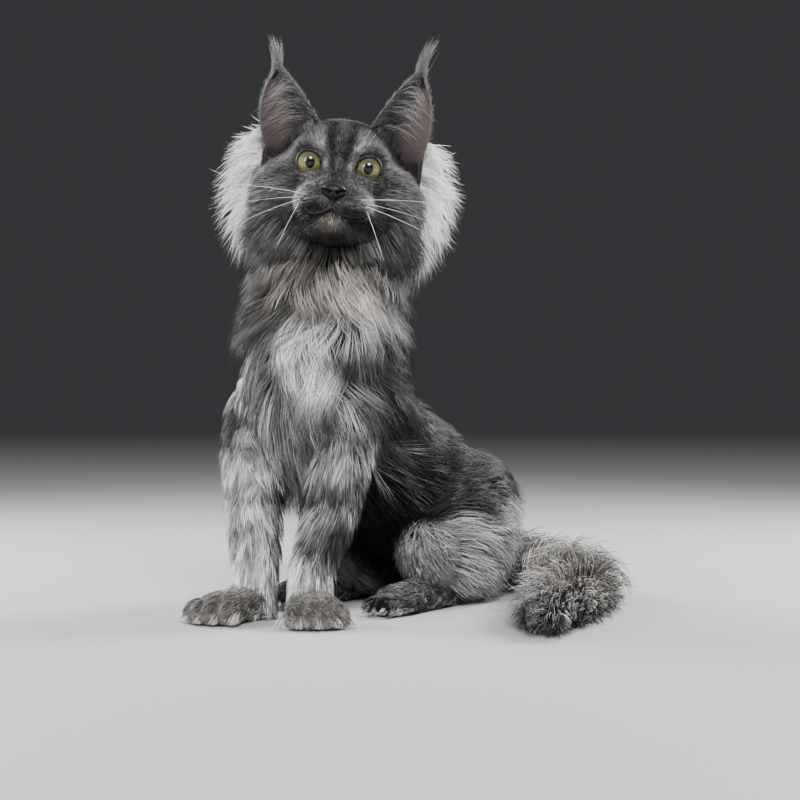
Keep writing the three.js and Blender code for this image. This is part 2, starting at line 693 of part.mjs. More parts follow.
// The origin is under the middle of the whole cat, on the floor.
cat.updateMatrixWorld(true);
const box = new THREE.Box3().setFromObject(cat, true);
cat.position.set(-(box.min.x + box.max.x) / 2, -(box.min.y + box.max.y) / 2, -box.min.z);

export default cat;
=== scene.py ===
import math

import bpy
import numpy as np
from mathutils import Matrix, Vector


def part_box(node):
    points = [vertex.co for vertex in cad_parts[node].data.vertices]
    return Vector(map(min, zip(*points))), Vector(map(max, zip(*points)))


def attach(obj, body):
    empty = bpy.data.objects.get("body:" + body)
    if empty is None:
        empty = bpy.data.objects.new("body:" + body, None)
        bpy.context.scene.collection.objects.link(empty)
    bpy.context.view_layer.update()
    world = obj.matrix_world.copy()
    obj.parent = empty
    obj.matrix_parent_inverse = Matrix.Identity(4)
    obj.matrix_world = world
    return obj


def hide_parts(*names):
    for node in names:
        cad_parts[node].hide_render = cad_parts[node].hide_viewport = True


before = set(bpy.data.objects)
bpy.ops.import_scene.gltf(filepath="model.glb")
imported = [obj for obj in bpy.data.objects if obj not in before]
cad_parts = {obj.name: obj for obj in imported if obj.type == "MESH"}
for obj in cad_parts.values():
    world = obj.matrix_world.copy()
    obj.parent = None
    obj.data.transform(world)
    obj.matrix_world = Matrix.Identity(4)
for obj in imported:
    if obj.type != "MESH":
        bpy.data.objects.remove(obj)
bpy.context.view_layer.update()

# Skin: the hide under the coat, one piece from the nose to the tip of the tail, with a socket for each
# eye and a furrow for the mouth. It is thin soft skin, grown fast to the flesh. Ovals square to a line
# give the body and blended lumps the head, and all are fused and smoothed, so that no seam shows.

# Where the head sits, and how it leans. The eyes fix the cat's own frame in the shared one.
HEAD_AT = np.array([0.0, 0.0, 350.0])
HEAD_TILT, HEAD_LIFT = math.radians(6.4), math.radians(3.0)
EYE_AT, EYE_RADIUS = np.array([22.7, -30.0, 2.0]), 11.0


def head_turn():
    """The head's rotation: a lift of the chin, then a lean to the cat's left."""
    c, s = math.cos(HEAD_TILT), math.sin(HEAD_TILT)
    lean = np.array([[c, 0, s], [0, 1, 0], [-s, 0, c]])
    c, s = math.cos(-HEAD_LIFT), math.sin(-HEAD_LIFT)
    return lean @ np.array([[1, 0, 0], [0, c, -s], [0, s, c]])


TURN = head_turn()


def from_head(points):
    """Points of the head's frame in the cat's frame."""
    return points @ TURN.T + HEAD_AT


def to_head(points):
    """Points of the cat's frame in the head's frame."""
    return (points - HEAD_AT) @ TURN


EYE_MIDDLE = np.mean([np.array(corner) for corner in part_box("eye_left")], axis=0)
SHIFT = EYE_MIDDLE * 1000 - from_head(EYE_AT)


def to_frame(points):
    """Points of the cat's frame in the shared frame, in metres."""
    return (points + SHIFT) / 1000


def normalized(a):
    """Vectors at length one."""
    return a / np.maximum(np.linalg.norm(a, axis=-1, keepdims=True), 1e-9)


def smooth(x, low, high):
    """0 below low, 1 above high, and the cubic s(3 - 2s) between them."""
    s = np.clip((x - low) / (high - low), 0, 1)
    return s * s * (3 - 2 * s)


def spot(a, b, centre, halves):
    """exp(-d^2), with d the distance of (a, b) from the centre, measured in the two halves."""
    return np.exp(-(((a - centre[0]) / halves[0]) ** 2 + ((b - centre[1]) / halves[1]) ** 2))


def spots(a, b, table):
    """The sum of the changes of a table's spots, each of middle, halves and change."""
    return sum(change * spot(a, b, (at_a, at_b), (wide, high)) for at_a, at_b, wide, high, change in table)


def ripple(p, size, seed):
    """Smooth noise near -1 to 1: six sines of random headings and phases, with waves of about the size."""
    draw = np.random.default_rng(seed)
    total = np.zeros(p.shape[:-1])
    for _ in range(6):
        way = normalized(draw.normal(size=3)) * 2 * math.pi / size * draw.uniform(0.6, 1.5)
        total += np.sin(p @ way + draw.uniform(0, 6.28))
    return total / 2.6


def grey(level, warm=0.0):
    """A grey of 0 to 255 on screen as linear colour, warmed by lifting red and lowering blue."""
    level = np.asarray(level, float)
    rgb = np.stack([level * (1 + warm), level, level * (1 - warm)], -1) / 255
    return np.clip(rgb, 0, 1) ** 2.2


def curve(stations, t):
    """The centripetal Catmull-Rom line through the stations, at t from 0 to 1."""
    last = len(stations) - 2
    place = np.clip(t, 0, 1) * (len(stations) - 1)
    i = np.minimum(place.astype(int), last)
    w = (place - i)[..., None]
    ends = np.vstack([2 * stations[:1] - stations[1:2], stations, 2 * stations[-1:] - stations[-2:-1]])
    p0, p1, p2, p3 = (ends[i + k] for k in range(4))
    gaps = [np.sqrt(np.linalg.norm(b - a, axis=-1, keepdims=True)) for a, b in ((p0, p1), (p1, p2), (p2, p3))]
    middle = np.where(gaps[1] < 1e-4, 1, gaps[1])
    before, after = (np.where(g < 1e-4, middle, g) for g in (gaps[0], gaps[2]))
    m1 = ((p1 - p0) / before - (p2 - p0) / (before + middle) + (p2 - p1) / middle) * middle
    m2 = ((p2 - p1) / middle - (p3 - p1) / (middle + after) + (p3 - p2) / after) * middle
    c2 = 3 * (p2 - p1) - 2 * m1 - m2
    return p1 + m1 * w + c2 * w**2 + (2 * (p1 - p2) + m1 + m2) * w**3


LINE_STEPS = 400  # how finely a limb's line is divided


class Limb:
    """A length of body: ovals square to a line. A station is x, y, z, half width, half depth, coat, turn."""

    def __init__(self, stations):
        table = np.array(stations, float)
        t = np.linspace(0, 1, LINE_STEPS + 1)
        line = curve(table[:, :3], t)
        run = np.concatenate([[0], np.cumsum(np.linalg.norm(np.diff(line, axis=0), axis=1))])
        self.length = run[-1]
        t = np.interp(t, run / run[-1], t)
        self.line = curve(table[:, :3], t)
        self.along = normalized(np.gradient(self.line, axis=0))
        self.halves = curve(table[:, 3:6], t)
        turn = np.radians(curve(table[:, 6:7], t)[:, 0])
        wide = np.stack([np.cos(turn), -np.sin(turn), 0 * turn], 1)
        self.wide = normalized(wide - self.along * (wide * self.along).sum(1, keepdims=True))
        self.deep = np.cross(self.along, self.wide)

    def at(self, place, angle, share):
        """middle + wide cos(angle) (w + share c) + deep sin(angle) (d + share c), straight past the ends."""
        held = np.clip(place, 0, 1)
        i = np.round(held * LINE_STEPS).astype(int)
        reach = self.halves[i][..., :2] + (share * self.halves[i][..., 2])[..., None]
        middle = self.line[i] + self.along[i] * ((place - i / LINE_STEPS) * self.length)[..., None]
        middle = middle + self.wide[i] * (np.cos(angle) * reach[..., 0])[..., None]
        return middle + self.deep[i] * (np.sin(angle) * reach[..., 1])[..., None]

    def locate(self, p):
        """For each point the place, the angle, and how far out it is, 1 on the skin, with 9 past the ends."""
        near = np.zeros(len(p), int)
        best = np.full(len(p), 1e9)
        for i in range(0, LINE_STEPS + 1, 8):
            d = ((p - self.line[i]) ** 2).sum(1)
            near = np.where(d < best, i, near)
            best = np.minimum(d, best)
        rel = p - self.line[near]
        a = (rel * self.wide[near]).sum(1) / self.halves[near, 0]
        b = (rel * self.deep[near]).sum(1) / self.halves[near, 1]
        beyond = (rel * self.along[near]).sum(1)
        past = ((near == 0) & (beyond < -4)) | ((near == LINE_STEPS) & (beyond > 4))
        return near / LINE_STEPS, np.arctan2(b, a), np.where(past, 9, np.hypot(a, b))


def ahead(start, heading, forward, side, z):
    """A place ahead of and beside a point, with the heading in degrees to the cat's right."""
    turn = math.radians(heading)
    x = start[0] - math.sin(turn) * forward + math.cos(turn) * side
    return np.array([x, start[1] - math.cos(turn) * forward - math.sin(turn) * side, z])


# Stations of the body, the same as the solids have.
SIDES = {"left": 1, "right": -1}
RUMP, TRUNK_TURN = (80.0, 175.0), 31.0
NECK = Limb([
    (1, 16, 322, 38, 38, 22, 4), (-4, 24, 285, 40, 42, 28, 8),
    (-10, 30, 250, 43, 46, 29, 12), (-15, 34, 222, 47, 50, 28, 16),
])
CHEST = Limb([
    (-15, 34, 221.4, 47, 50, 28, 16), (-16, 36, 195, 50, 54, 26, 20),
    (-10, 44, 165, 52, 56, 22, 24), (2, 60, 140, 52, 56, 18, 26),
])
TORSO = Limb([
    (2, 60, 139.6, 52, 56, 18, 26), (30, 100, 110, 54, 60, 18, 30), (60, 145, 82, 58, 60, 18, 31),
    (80, 175, 62, 56, 54, 18, 31), (92, 196, 50, 36, 36, 14, 31),
])
FORELEGS = {
    "left": Limb([
        (16, 36, 176, 20, 34, 12, -8), (0, 2, 124, 20, 25, 12, -8), (-8, -12, 80, 16, 17, 11, -8),
        (-21, -28, 36, 13, 14, 9, -8), (-22, -34, 16, 13, 14, 8, -8),
    ]),
    "right": Limb([
        (-58, 44, 178, 20, 34, 12, 40), (-68, 34, 124, 20, 25, 12, 40), (-68, 14, 80, 16, 17, 11, 40),
        (-66, -4, 36, 13, 14, 9, 40), (-67, -8, 16, 13, 14, 8, 40),
    ]),
}
WRISTS = {"left": ((-21.0, -30.0), -8.0), "right": ((-68.0, -8.0), 40.0)}
HAUNCH_ROWS = [
    (-11, 38, 62, 26, 48, 14), (16, 42, 66, 34, 58, 16), (54, 46, 62, 34, 52, 16),
    (87, 47.6, 56, 28, 38, 14), (107, 47, 50, 14, 20, 14),
]
HINDFOOT_ROWS = [
    (46, 49, 12, 12, 13, 1), (80, 49, 12, 12, 13, 1), (120, 49, 12, 15, 13, 1),
    (150, 49, 11, 18, 12, 1), (166, 49, 9, 11, 9, 1),
]
TAIL = Limb([
    (100, 203, 42, 13, 11, 26, 31), (138, 228, 30, 14, 6, 34, -10), (174, 210, 23, 14, 2, 36, -60),
    (194, 160, 20, 14, 0, 38, -90), (197, 105, 19, 13, 0, 39, -90), (190, 45, 19, 12, 0, 40, -96),
    (177, -15, 19, 11, 0, 38, -102), (165, -72, 18, 9, 0, 31, -104), (157, -124, 14, 3, 0, 16, -106),
])


def hind_limb(rows, side):
    """A limb of the hindquarters, from rows of forward, out, height, half width, half depth and coat."""
    return Limb([
        (*ahead(RUMP, TRUNK_TURN, forward, side * out, z), wide, deep, coat, TRUNK_TURN)
        for forward, out, z, wide, deep, coat in rows
    ])


HAUNCHES = {name: hind_limb(HAUNCH_ROWS, side) for name, side in SIDES.items()}
HINDFEET = {name: hind_limb(HINDFOOT_ROWS, side) for name, side in SIDES.items()}

# Lumps of the head, the same as the solids have: middle and half sizes. One off the middle is mirrored.
LUMPS = [
    ((0, 12, 6), (46, 44, 37)), ((0, -12, 14), (31, 30, 24)), ((22, -22, 1), (17, 16, 15)),
    ((20, -30, 14), (13, 10, 6)), ((32, -2, -22), (29, 34, 29)), ((23, -14, -38), (24, 28, 19)),
    ((0, -37, -8), (11, 26, 14)), ((15, -37, -16), (12, 12, 10)), ((0, -59, -24), (9, 11, 8)),
    ((14, -53, -31.5), (15.5, 16.5, 10)), ((0, -40, -30), (26, 26, 19)), ((0, -45, -49), (14, 15, 10)),
    ((0, -24, -44), (27, 30, 16)),
]
LUMP_BLEND = 4.0
HEAD_CENTRE = np.array([0.0, 0.0, -6.0])
HEAD_ROWS, HEAD_COLUMNS = 181, 240


def head_field(p):
    """-B log(sum of exp(-d / B)), with d about the distance outside each lump and B the blend."""
    total = np.zeros(p.shape[:-1])
    for at, half in LUMPS:
        for side in (1, -1) if at[0] else (1,):
            rel = (p - np.array([side * at[0], at[1], at[2]])) / np.array(half)
            near = np.linalg.norm(rel, axis=-1)
            steep = np.linalg.norm(rel / np.array(half), axis=-1)
            total += np.exp(-near * (near - 1) / np.maximum(steep, 1e-6) / LUMP_BLEND)
    return -LUMP_BLEND * np.log(np.maximum(total, 1e-300))


def head_ways(polar, round_angle):
    """Unit vectors at a polar angle from the nose's way, -Y, and an angle about it."""
    s = np.sin(polar)
    return np.stack([s * np.cos(round_angle), -np.cos(polar), s * np.sin(round_angle)], -1)


def polar_grid(rows, columns, margin):
    """Polar angles from the margin to pi less the margin, and angles all round, as two grids."""
    polar = np.linspace(margin, np.pi - margin, rows)
    return np.meshgrid(polar, np.arange(columns) / columns * 2 * np.pi, indexing="ij")


def head_radii():
    """The surface's distance from the head's centre along each way of the grid, by halving steps."""
    ways = head_ways(*polar_grid(HEAD_ROWS, HEAD_COLUMNS, 0))
    near, far = np.full(ways.shape[:2], 10.0), np.full(ways.shape[:2], 120.0)
    for _ in range(16):
        half = (near + far) / 2
        inside = head_field(HEAD_CENTRE + ways * half[..., None]) < 0
        near, far = np.where(inside, half, near), np.where(inside, far, half)
    return near


RADII = head_radii()


def on_head(ways):
    """Points of the head's outline along unit vectors from its centre, in the head's frame."""
    polar = np.arccos(np.clip(-ways[..., 1], -1, 1)) / np.pi * (HEAD_ROWS - 1)
    turn = (np.arctan2(ways[..., 2], ways[..., 0]) / (2 * np.pi) % 1) * HEAD_COLUMNS
    r = np.minimum(polar.astype(int), HEAD_ROWS - 2)
    c = turn.astype(int) % HEAD_COLUMNS
    c2 = (c + 1) % HEAD_COLUMNS
    fr, fc = polar - r, turn - np.floor(turn)
    radius = (RADII[r, c] * (1 - fc) + RADII[r, c2] * fc) * (1 - fr)
    radius += (RADII[r + 1, c] * (1 - fc) + RADII[r + 1, c2] * fc) * fr
    return HEAD_CENTRE + ways * radius[..., None]


FACE_FUR = 1.6  # depth of the short hair on the head
SOCKET = {"wide": 10.3, "high": 9.2, "slant": math.radians(20), "deep": 9.0, "drop": 1.0}
MOUTH = ((0, -37), (8, -41), (16, -42), (24, -39.5))
FURROW = {"deep": 2.4, "wide": 1.5}


def eye_axes(p):
    """How far a point of the face is along and across the slanted opening of the eye on its side."""
    a, b = np.abs(p[..., 0]) - EYE_AT[0], p[..., 2] - EYE_AT[2] + SOCKET["drop"]
    c, s = math.cos(SOCKET["slant"]), math.sin(SOCKET["slant"])
    return a * c + b * s, b * c - a * s


def socket_share(p):
    """1 inside an eye's opening and 0 outside, by the ellipse of the lids' edge, in the head's frame."""
    along, across = eye_axes(p)
    measure = np.hypot(along / SOCKET["wide"], across / SOCKET["high"])
    return (1 - smooth(measure, 0.78, 1.0)) * (p[..., 1] < -15)


def mouth_line(t):
    """The line of the mouth on the left side as (x, z), from the middle at 0 to the corner at 1."""
    return curve(np.array(MOUTH, float), t)


def mouth_distance(p):
    """How far above the line of the mouth, or below it if negative, a point is, and 99 off the mouth."""
    line = mouth_line(np.linspace(0, 1, 30))
    a = np.abs(p[..., 0])
    above = p[..., 2] - np.interp(a, line[:, 0], line[:, 1])
    return np.where((a < line[-1, 0] + 1) & (p[..., 1] < -25), above, 99.0)


def grid_faces(rows, columns, wrap=True):
    """Quads of a grid whose columns close up if wrap is set."""
    r, c = np.meshgrid(np.arange(rows - 1), np.arange(columns if wrap else columns - 1), indexing="ij")
    c2 = (c + 1) % columns
    quads = np.stack([r * columns + c, r * columns + c2, (r + 1) * columns + c2, (r + 1) * columns + c], -1)
    return quads.reshape(-1, 4)


def closed(rings, ends=None):
    """A grid of rings as a closed surface, with a fan at each end to the ring's middle or a given point."""
    rows, columns = rings.shape[:2]
    count = rows * columns
    ends = (rings[0].mean(0), rings[-1].mean(0)) if ends is None else ends
    first, last = np.arange(columns), np.arange(columns) + count - columns
    fans = np.vstack([
        np.stack([np.roll(first, -1), first, np.full(columns, count)], 1),
        np.stack([last, np.roll(last, -1), np.full(columns, count + 1)], 1),
    ])
    return np.vstack([rings.reshape(-1, 3), *ends]), [grid_faces(rows, columns), fans]


def joined(shapes):
    """Several surfaces of (points, [quads, triangles]) as one, with each one's faces counted on."""
    starts = np.cumsum([0] + [len(points) for points, _ in shapes])
    faces = [np.vstack([kinds[k] + start for (_, kinds), start in zip(shapes, starts)]) for k in (0, 1)]
    return np.vstack([points for points, _ in shapes]), faces


def spin(degrees):
    """The rotation about the upright axis, clockwise as seen from above."""
    c, s = math.cos(math.radians(degrees)), math.sin(math.radians(degrees))
    return np.array([[c, s, 0], [-s, c, 0], [0, 0, 1]])


LIMB_RINGS, LIMB_SIDES = 44, 56


def limb_skin(limb):
    """A limb's surface at share 0, with a dome of an ellipse's shape on each end."""
    domes = np.sin(np.linspace(0, 0.45 * np.pi, 5))[1:]
    places = np.linspace(0, 1, LIMB_RINGS)[:, None]
    angle = np.arange(LIMB_SIDES)[None] / LIMB_SIDES * 2 * np.pi
    body = limb.at(places + 0 * angle, angle + 0 * places, np.zeros((LIMB_RINGS, LIMB_SIDES)))
    ends = []
    for k, way in ((0, -1), (-1, 1)):
        bulge = way * limb.along[k] * limb.halves[k, :2].min() * 0.6
        spread = body[k] - limb.line[k]
        ends.append([limb.line[k] + spread * math.sqrt(1 - d * d) + bulge * d for d in domes])
    return closed(np.concatenate([ends[0][::-1], body, ends[1]]))


def egg(middle, halves, turn, rows=20, columns=28):
    """An egg turned about the upright axis, by its polar and round angles."""
    polar, angle = polar_grid(rows, columns, 0.08)
    unit = np.stack([np.sin(polar) * np.cos(angle), np.sin(polar) * np.sin(angle), np.cos(polar)], -1)
    return closed((unit * halves) @ spin(turn).T + middle)


PAW_TOES = ((-17, 41), (-6, 47), (6, 47), (17, 40))  # aside and ahead of the wrist
PAW_FUR = 1.2  # depth of the hair on a forepaw


def paw_eggs(start, heading):
    """Middle, halves and turn of each egg of a forepaw, thinner than the solid's by the hair's depth."""
    eggs = [
        (ahead(start, heading, 10, 0, 14), (19, 22, 15), heading),
        (ahead(start, heading, 30, 0, 12), (23, 22, 13.5), heading),
    ]
    for side, reach in PAW_TOES:
        eggs.append((ahead(start, heading, reach, side, 9.5), (8, 14, 10), heading - side * 0.6))
    return [(middle, np.array(halves) - PAW_FUR, turn) for middle, halves, turn in eggs]


def head_skin():
    """The head's outline less the depth of the hair, with the sockets and the mouth's furrow pressed in."""
    ways = head_ways(*polar_grid(190, 260, 0.01))
    points = on_head(ways) - ways * FACE_FUR
    furrow = FURROW["deep"] * np.exp(-((mouth_distance(points) / FURROW["wide"]) ** 2))
    points[..., 1] += SOCKET["deep"] * socket_share(points) + furrow
    points, faces = closed(points)
    return from_head(points), faces


def read_rows(rows, name, width, kind):
    """One value of each row of a mesh, as an array."""
    values = np.zeros(len(rows) * width, kind)
    rows.foreach_get(name, values)
    return values


def fused(shapes, grain, rounds):
    """One closed surface over overlapping closed shapes, of faces about the grain's size, then evened."""
    points, faces = joined(shapes)
    mesh = bpy.data.meshes.new("shapes")
    mesh.from_pydata(points / 1000, [], faces[0].tolist() + faces[1].tolist())
    piece = bpy.data.objects.new("shapes", mesh)
    bpy.context.scene.collection.objects.link(piece)
    remesh = piece.modifiers.new("fuse", "REMESH")
    remesh.mode = "VOXEL"
    remesh.voxel_size = grain / 1000
    even = piece.modifiers.new("even", "SMOOTH")
    even.factor = 0.5
    even.iterations = rounds
    made = piece.evaluated_get(bpy.context.evaluated_depsgraph_get()).to_mesh()
    points = read_rows(made.vertices, "co", 3, np.float32).reshape(-1, 3).astype(float) * 1000
    corners = read_rows(made.loops, "vertex_index", 1, np.int32)
    sizes = read_rows(made.polygons, "loop_total", 1, np.int32)
    starts = read_rows(made.polygons, "loop_start", 1, np.int32)
    faces = [corners[starts[sizes == n][:, None] + np.arange(n)] for n in (3, 4) if (sizes == n).any()]
    bpy.data.objects.remove(piece)
    bpy.data.meshes.remove(mesh)
    return points, faces


# Marks of the coat, with painted shade in a few places: each function gives a grey level and a warmth for
# points of its part.
# The face's spots are alike on both sides: x, z, half sizes and the change of grey.
FACE_SPOTS = (
    (15.5, 17, 5.5, 5, 86), (17, 29, 4, 10, 34),  # pale brow
    (8.5, 24, 3, 15, -44), (28, 24, 6, 10, 8),  # bars of the dark M, and the grey beside it
    (10.3, 1, 2.3, 6, 86), (5, 0, 3, 16, -26),  # pale line down the nose's side, dark line within it
    (34, 4, 3.5, 3, 20), (22, -9.5, 9, 2.2, 16),  # paler rim behind and below the eye
    (15, -14, 10, 7, -44), (30, -16, 10, 4, -36),  # dark under the eye
    (0, -10, 12, 9, -22), (10, -33, 7, 4, 26),  # dark bridge, grey pad
    (26.5, -28, 7.5, 4.6, 84), (30, -35, 7, 3, 40),  # white spot where the whiskers grow
    (0, -48, 9, 5, 74), (20, -45, 13, 4, -30),  # brownish chin, dark lip
    (0, -60, 30, 4, -20), (42, -34, 8, 7, -16), (44, -22, 9, 4, 26), (14, -38, 10, 3, -24),  # jaw and cheek
)


def face_stripe(a, z, height, slope, start, thick):
    """exp(-(rise / thick)^2), with the rise above a line that falls by the slope from its start."""
    return np.exp(-(((z - height + slope * (a - start)) / thick) ** 2))


def head_marks_and_shade(p):
    """Grey forehead with a dark M, pale patches by the eyes, dark centre, brownish chin, paler cheeks, and a
    line of painted shade along the top of the whisker pads.
    """
    a, y, z = np.abs(p[:, 0]), p[:, 1], p[:, 2]
    front = smooth(-y, 0, 25)
    level = 36 + 16 * front + 10 * ripple(p, 11, 5) + 11 * ripple(p, 5, 6)
    level += 30 * smooth(a, 34, 58) * smooth(z, -60, -20) * (1 - 0.8 * smooth(z, -6, 10))
    marks = spots(a, z, FACE_SPOTS)
    # Painted shade: a dark line along the upper edge of the whisker pads, where the upward face is lit pale.
    marks -= 50 * face_stripe(a, z, -13, 0.75, 8, 4) * smooth(a, 4, 9) * (1 - smooth(a, 24, 30))
    level += 0.9 * front * marks
    level -= 40 * smooth(a, 33, 40) * face_stripe(a, z, -4, 0.25, 34, 3.2) * (1 - smooth(a, 50, 60))
    level += (34 + 16 * ripple(p, 7, 9)) * (1 - smooth(z, -62, -46)) * smooth(a, 10, 26)
    level += 70 * spot(a, z, (35, -60), (8, 4)) * smooth(-y, -20, 0)
    level += (76 + 14 * ripple(p, 8, 9) - level) * (1 - smooth(z, -84, -62))
    warm = 0.01 + 0.06 * front * spot(a, z, (0, -48), (11, 7)) + 0.02 * smooth(a, 40, 56)
    return np.clip(level, 24, 235), warm


# Pale and dark patches of the throat and chest, seen from the front: x, z, half sizes and change of grey.
MANE_SPOTS = (
    (-54, 257, 15, 8, 55), (-22, 250, 22, 9, 60), (24, 260, 14, 11, 40), (31, 230, 22, 10, 90),
    (-50, 230, 20, 8, 66), (-20, 238, 24, 4, -34), (-2, 217, 28, 5, -70), (-62, 217, 20, 5, -40),
    (-37, 204, 22, 12, 115), (-24, 176, 14, 24, 95), (31, 205, 26, 10, 90), (20, 183, 26, 10, -80),
    (-72, 194, 14, 28, -50), (-28, 118, 13, 24, -14), (-1, 155, 14, 6, 40), (19, 138, 9, 10, 60),
    (-50, 143, 10, 11, -55), (-3, 133, 8, 10, -50),
)
MANE_CONTRAST = 1.8


def mane_marks_and_shade(p, angle):
    """Neck and chest: grey front with pale and dark patches and a collar, grey sides, nearly black back, and
    painted shade on the front's right edge.
    """
    front = np.sin(angle)
    wave = ripple(p, 30, 7)
    x, z = p[:, 0] + 3 * wave, p[:, 2] + 4 * ripple(p, 24, 8)
    side = 18 + 44 * smooth(front, -0.5, 0.2)
    pale = 114 + 14 * ripple(p, 12, 10)
    pale += MANE_CONTRAST * spots(x, z, MANE_SPOTS)
    # Painted shade: the pale front is drawn towards dark grey at the cat's right side, above the chest's
    # middle.
    pale += (54 - pale) * 0.85 * smooth(-p[:, 0], 46, 62) * smooth(z, 150, 180)
    level = side + (pale - side) * smooth(front + 0.1 * wave, 0.2, 0.75)
    level -= 34 * smooth(x, 20, 42) * (1 - smooth(z, 190, 214))
    level += (78 + 12 * ripple(p, 10, 11) - level) * smooth(z, 240, 260) * smooth(front, -0.3, 0.3)
    warm = 0.012 + 0.04 * smooth(z, 222, 262) * smooth(front, 0.3, 0.8)
    return np.clip(level, 14, 245), warm


# Dark bands of the forelegs: height, half height and depth. Dark patches: x, z, half sizes and change.
LEG_BANDS = ((150, 10, 74), (131, 7, 60), (90, 8, 100), (50, 8, 84))
LEG_SPOTS = (
    (-4, 48, 16, 18, -150), (15, 90, 9, 10, -90), (14, 62, 7, 9, -50), (12, 128, 8, 8, -50),
    (-84, 66, 6, 14, -60),
)


def leg_marks(p, angle):
    """Forelegs: pale in front with a few dark bands and patches, darker behind."""
    front = np.sin(angle)
    z = p[:, 2] + 5 * ripple(p, 24, 12)
    level = 56 + 122 * smooth(front, -0.7, 0.4) + 10 * ripple(p, 9, 13) + 24 * np.exp(-(((z - 30) / 14) ** 2))
    for height, tall, depth in LEG_BANDS:
        level -= depth * np.exp(-(((z - height) / tall) ** 2))
    level -= 34 * smooth(p[:, 0], -40, -30) + 80 * smooth(-p[:, 0], 78, 90) * smooth(z, 96, 126)
    return np.clip(level + spots(p[:, 0], z, LEG_SPOTS), 20, 245), 0.008 + 0 * z


def paw_marks(p, angle):
    """Paws: mottled brownish grey, paler on the toes."""
    level = 78 + 20 * ripple(p, 10, 14) + 10 * ripple(p, 4, 15) + 34 * (1 - smooth(p[:, 2], 3, 10))
    level += 40 * smooth(p[:, 2], 18, 27)
    return level, 0.025 + 0 * level


def hindfoot_marks(p, angle):
    """Hind feet: as the paws, but darker."""
    level, warm = paw_marks(p, angle)
    return 0.66 * level, 0.6 * warm


def flank_marks(p, angle):
    """Back and flanks: smoke black with pale streaks where the undercoat shows."""
    streak = ripple(p * (1, 1, 0.45), 15, 16)
    level = 5 + 13 * smooth(streak, 0.25, 0.9) + 2 * ripple(p, 6, 17)
    level += 80 * spot(p[:, 0], p[:, 2], (56, 108), (8, 9)) + 80 * spot(p[:, 0], p[:, 2], (74, 132), (11, 8))
    return level, 0.008 + 0 * streak


def haunch_marks(p, angle):
    """Haunches: dark above, and pale grey down towards the floor."""
    dark, warm = flank_marks(p, angle)
    low = 1 - smooth(p[:, 2] + 10 * ripple(p, 30, 18), 58, 92)
    return dark + (140 + 18 * ripple(p, 10, 19) - dark) * low, warm


TAIL_BANDS = 8


def tail_marks(p, angle):
    """Tail: pale and grey bands above, with dark long hair low on both sides."""
    place = TAIL.locate(p)[0]
    wave = np.sin(place * 2 * np.pi * TAIL_BANDS + 0.8 * ripple(p, 40, 20))
    bands = 108 + 34 * wave + 10 * ripple(p, 12, 21)
    low = 1 - smooth(p[:, 2] + 6 * ripple(p, 30, 22), 4, 20)
    return bands + (50 - bands) * low, 0.02 + 0 * bands


MARKS = [
    (NECK, mane_marks_and_shade), (CHEST, mane_marks_and_shade), (TORSO, flank_marks), (TAIL, tail_marks),
    *((limb, leg_marks) for limb in FORELEGS.values()),
    *((limb, haunch_marks) for limb in HAUNCHES.values()),
    *((limb, hindfoot_marks) for limb in HINDFEET.values()),
]


def skin_colours(p):
    """The marks of the part whose skin is nearest, darkened as painted shade under the hair, and painted
    nearly black in a socket as its shade.
    """
    local = to_head(p)
    level, warm = head_marks_and_shade(local)
    nearest = np.maximum(head_field(local) / 40 + 1, 0)
    for limb, marks in MARKS:
        _, angle, out = limb.locate(p)
        its_level, its_warm = marks(p, angle)
        closer = out < nearest
        level, warm = np.where(closer, its_level, level), np.where(closer, its_warm, warm)
        nearest = np.minimum(out, nearest)
    for start, heading in WRISTS.values():
        toes = (p[:, 2] < 26) & (np.hypot(*(p - ahead(start, heading, 28, 0, 0))[:, :2].T) < 40)
        its_level, its_warm = paw_marks(p, None)
        level, warm = np.where(toes, its_level, level), np.where(toes, its_warm, warm)
    # Painted shade: the skin at 0.75 of the marks under the coat, and nearly black inside an eye's socket.
    level = level * 0.75 * (1 - 0.8 * socket_share(local) * (nearest > 0.5))
    return grey(np.clip(level, 6, 255), warm)


def colour_group():
    """The attribute colour of a coat, with a fine mottle, so that hairs of one colour still differ."""
    group = bpy.data.node_groups.new("Coat colour", "ShaderNodeTree")
    group.interface.new_socket("Mottle", in_out="INPUT", socket_type="NodeSocketFloat").default_value = 0.3
    group.interface.new_socket("Colour", in_out="OUTPUT", socket_type="NodeSocketColor")
    group.interface.new_socket("Height", in_out="OUTPUT", socket_type="NodeSocketFloat")
    nodes, links = group.nodes, group.links
    inputs, outputs = nodes.new("NodeGroupInput"), nodes.new("NodeGroupOutput")
    colour = nodes.new("ShaderNodeAttribute")
    colour.attribute_name = "Coat"
    place = nodes.new("ShaderNodeTexCoord")
    noise = nodes.new("ShaderNodeTexNoise")
    noise.inputs["Scale"].default_value = 420
    noise.inputs["Detail"].default_value = 3
    centred = nodes.new("ShaderNodeMath")
    centred.operation = "SUBTRACT"
    centred.inputs[1].default_value = 0.5
    scaled = nodes.new("ShaderNodeMath")
    scaled.operation = "MULTIPLY_ADD"
    scaled.inputs[2].default_value = 1.0
    tinted = nodes.new("ShaderNodeVectorMath")
    tinted.operation = "SCALE"
    links.new(place.outputs["Object"], noise.inputs["Vector"])
    links.new(noise.outputs["Fac"], centred.inputs[0])
    links.new(centred.outputs[0], scaled.inputs[0])
    links.new(inputs.outputs["Mottle"], scaled.inputs[1])
    links.new(colour.outputs["Color"], tinted.inputs[0])
    links.new(scaled.outputs[0], tinted.inputs["Scale"])
    links.new(tinted.outputs[0], outputs.inputs["Colour"])
    links.new(noise.outputs["Fac"], outputs.inputs["Height"])
    return group


COLOUR_GROUP = colour_group()


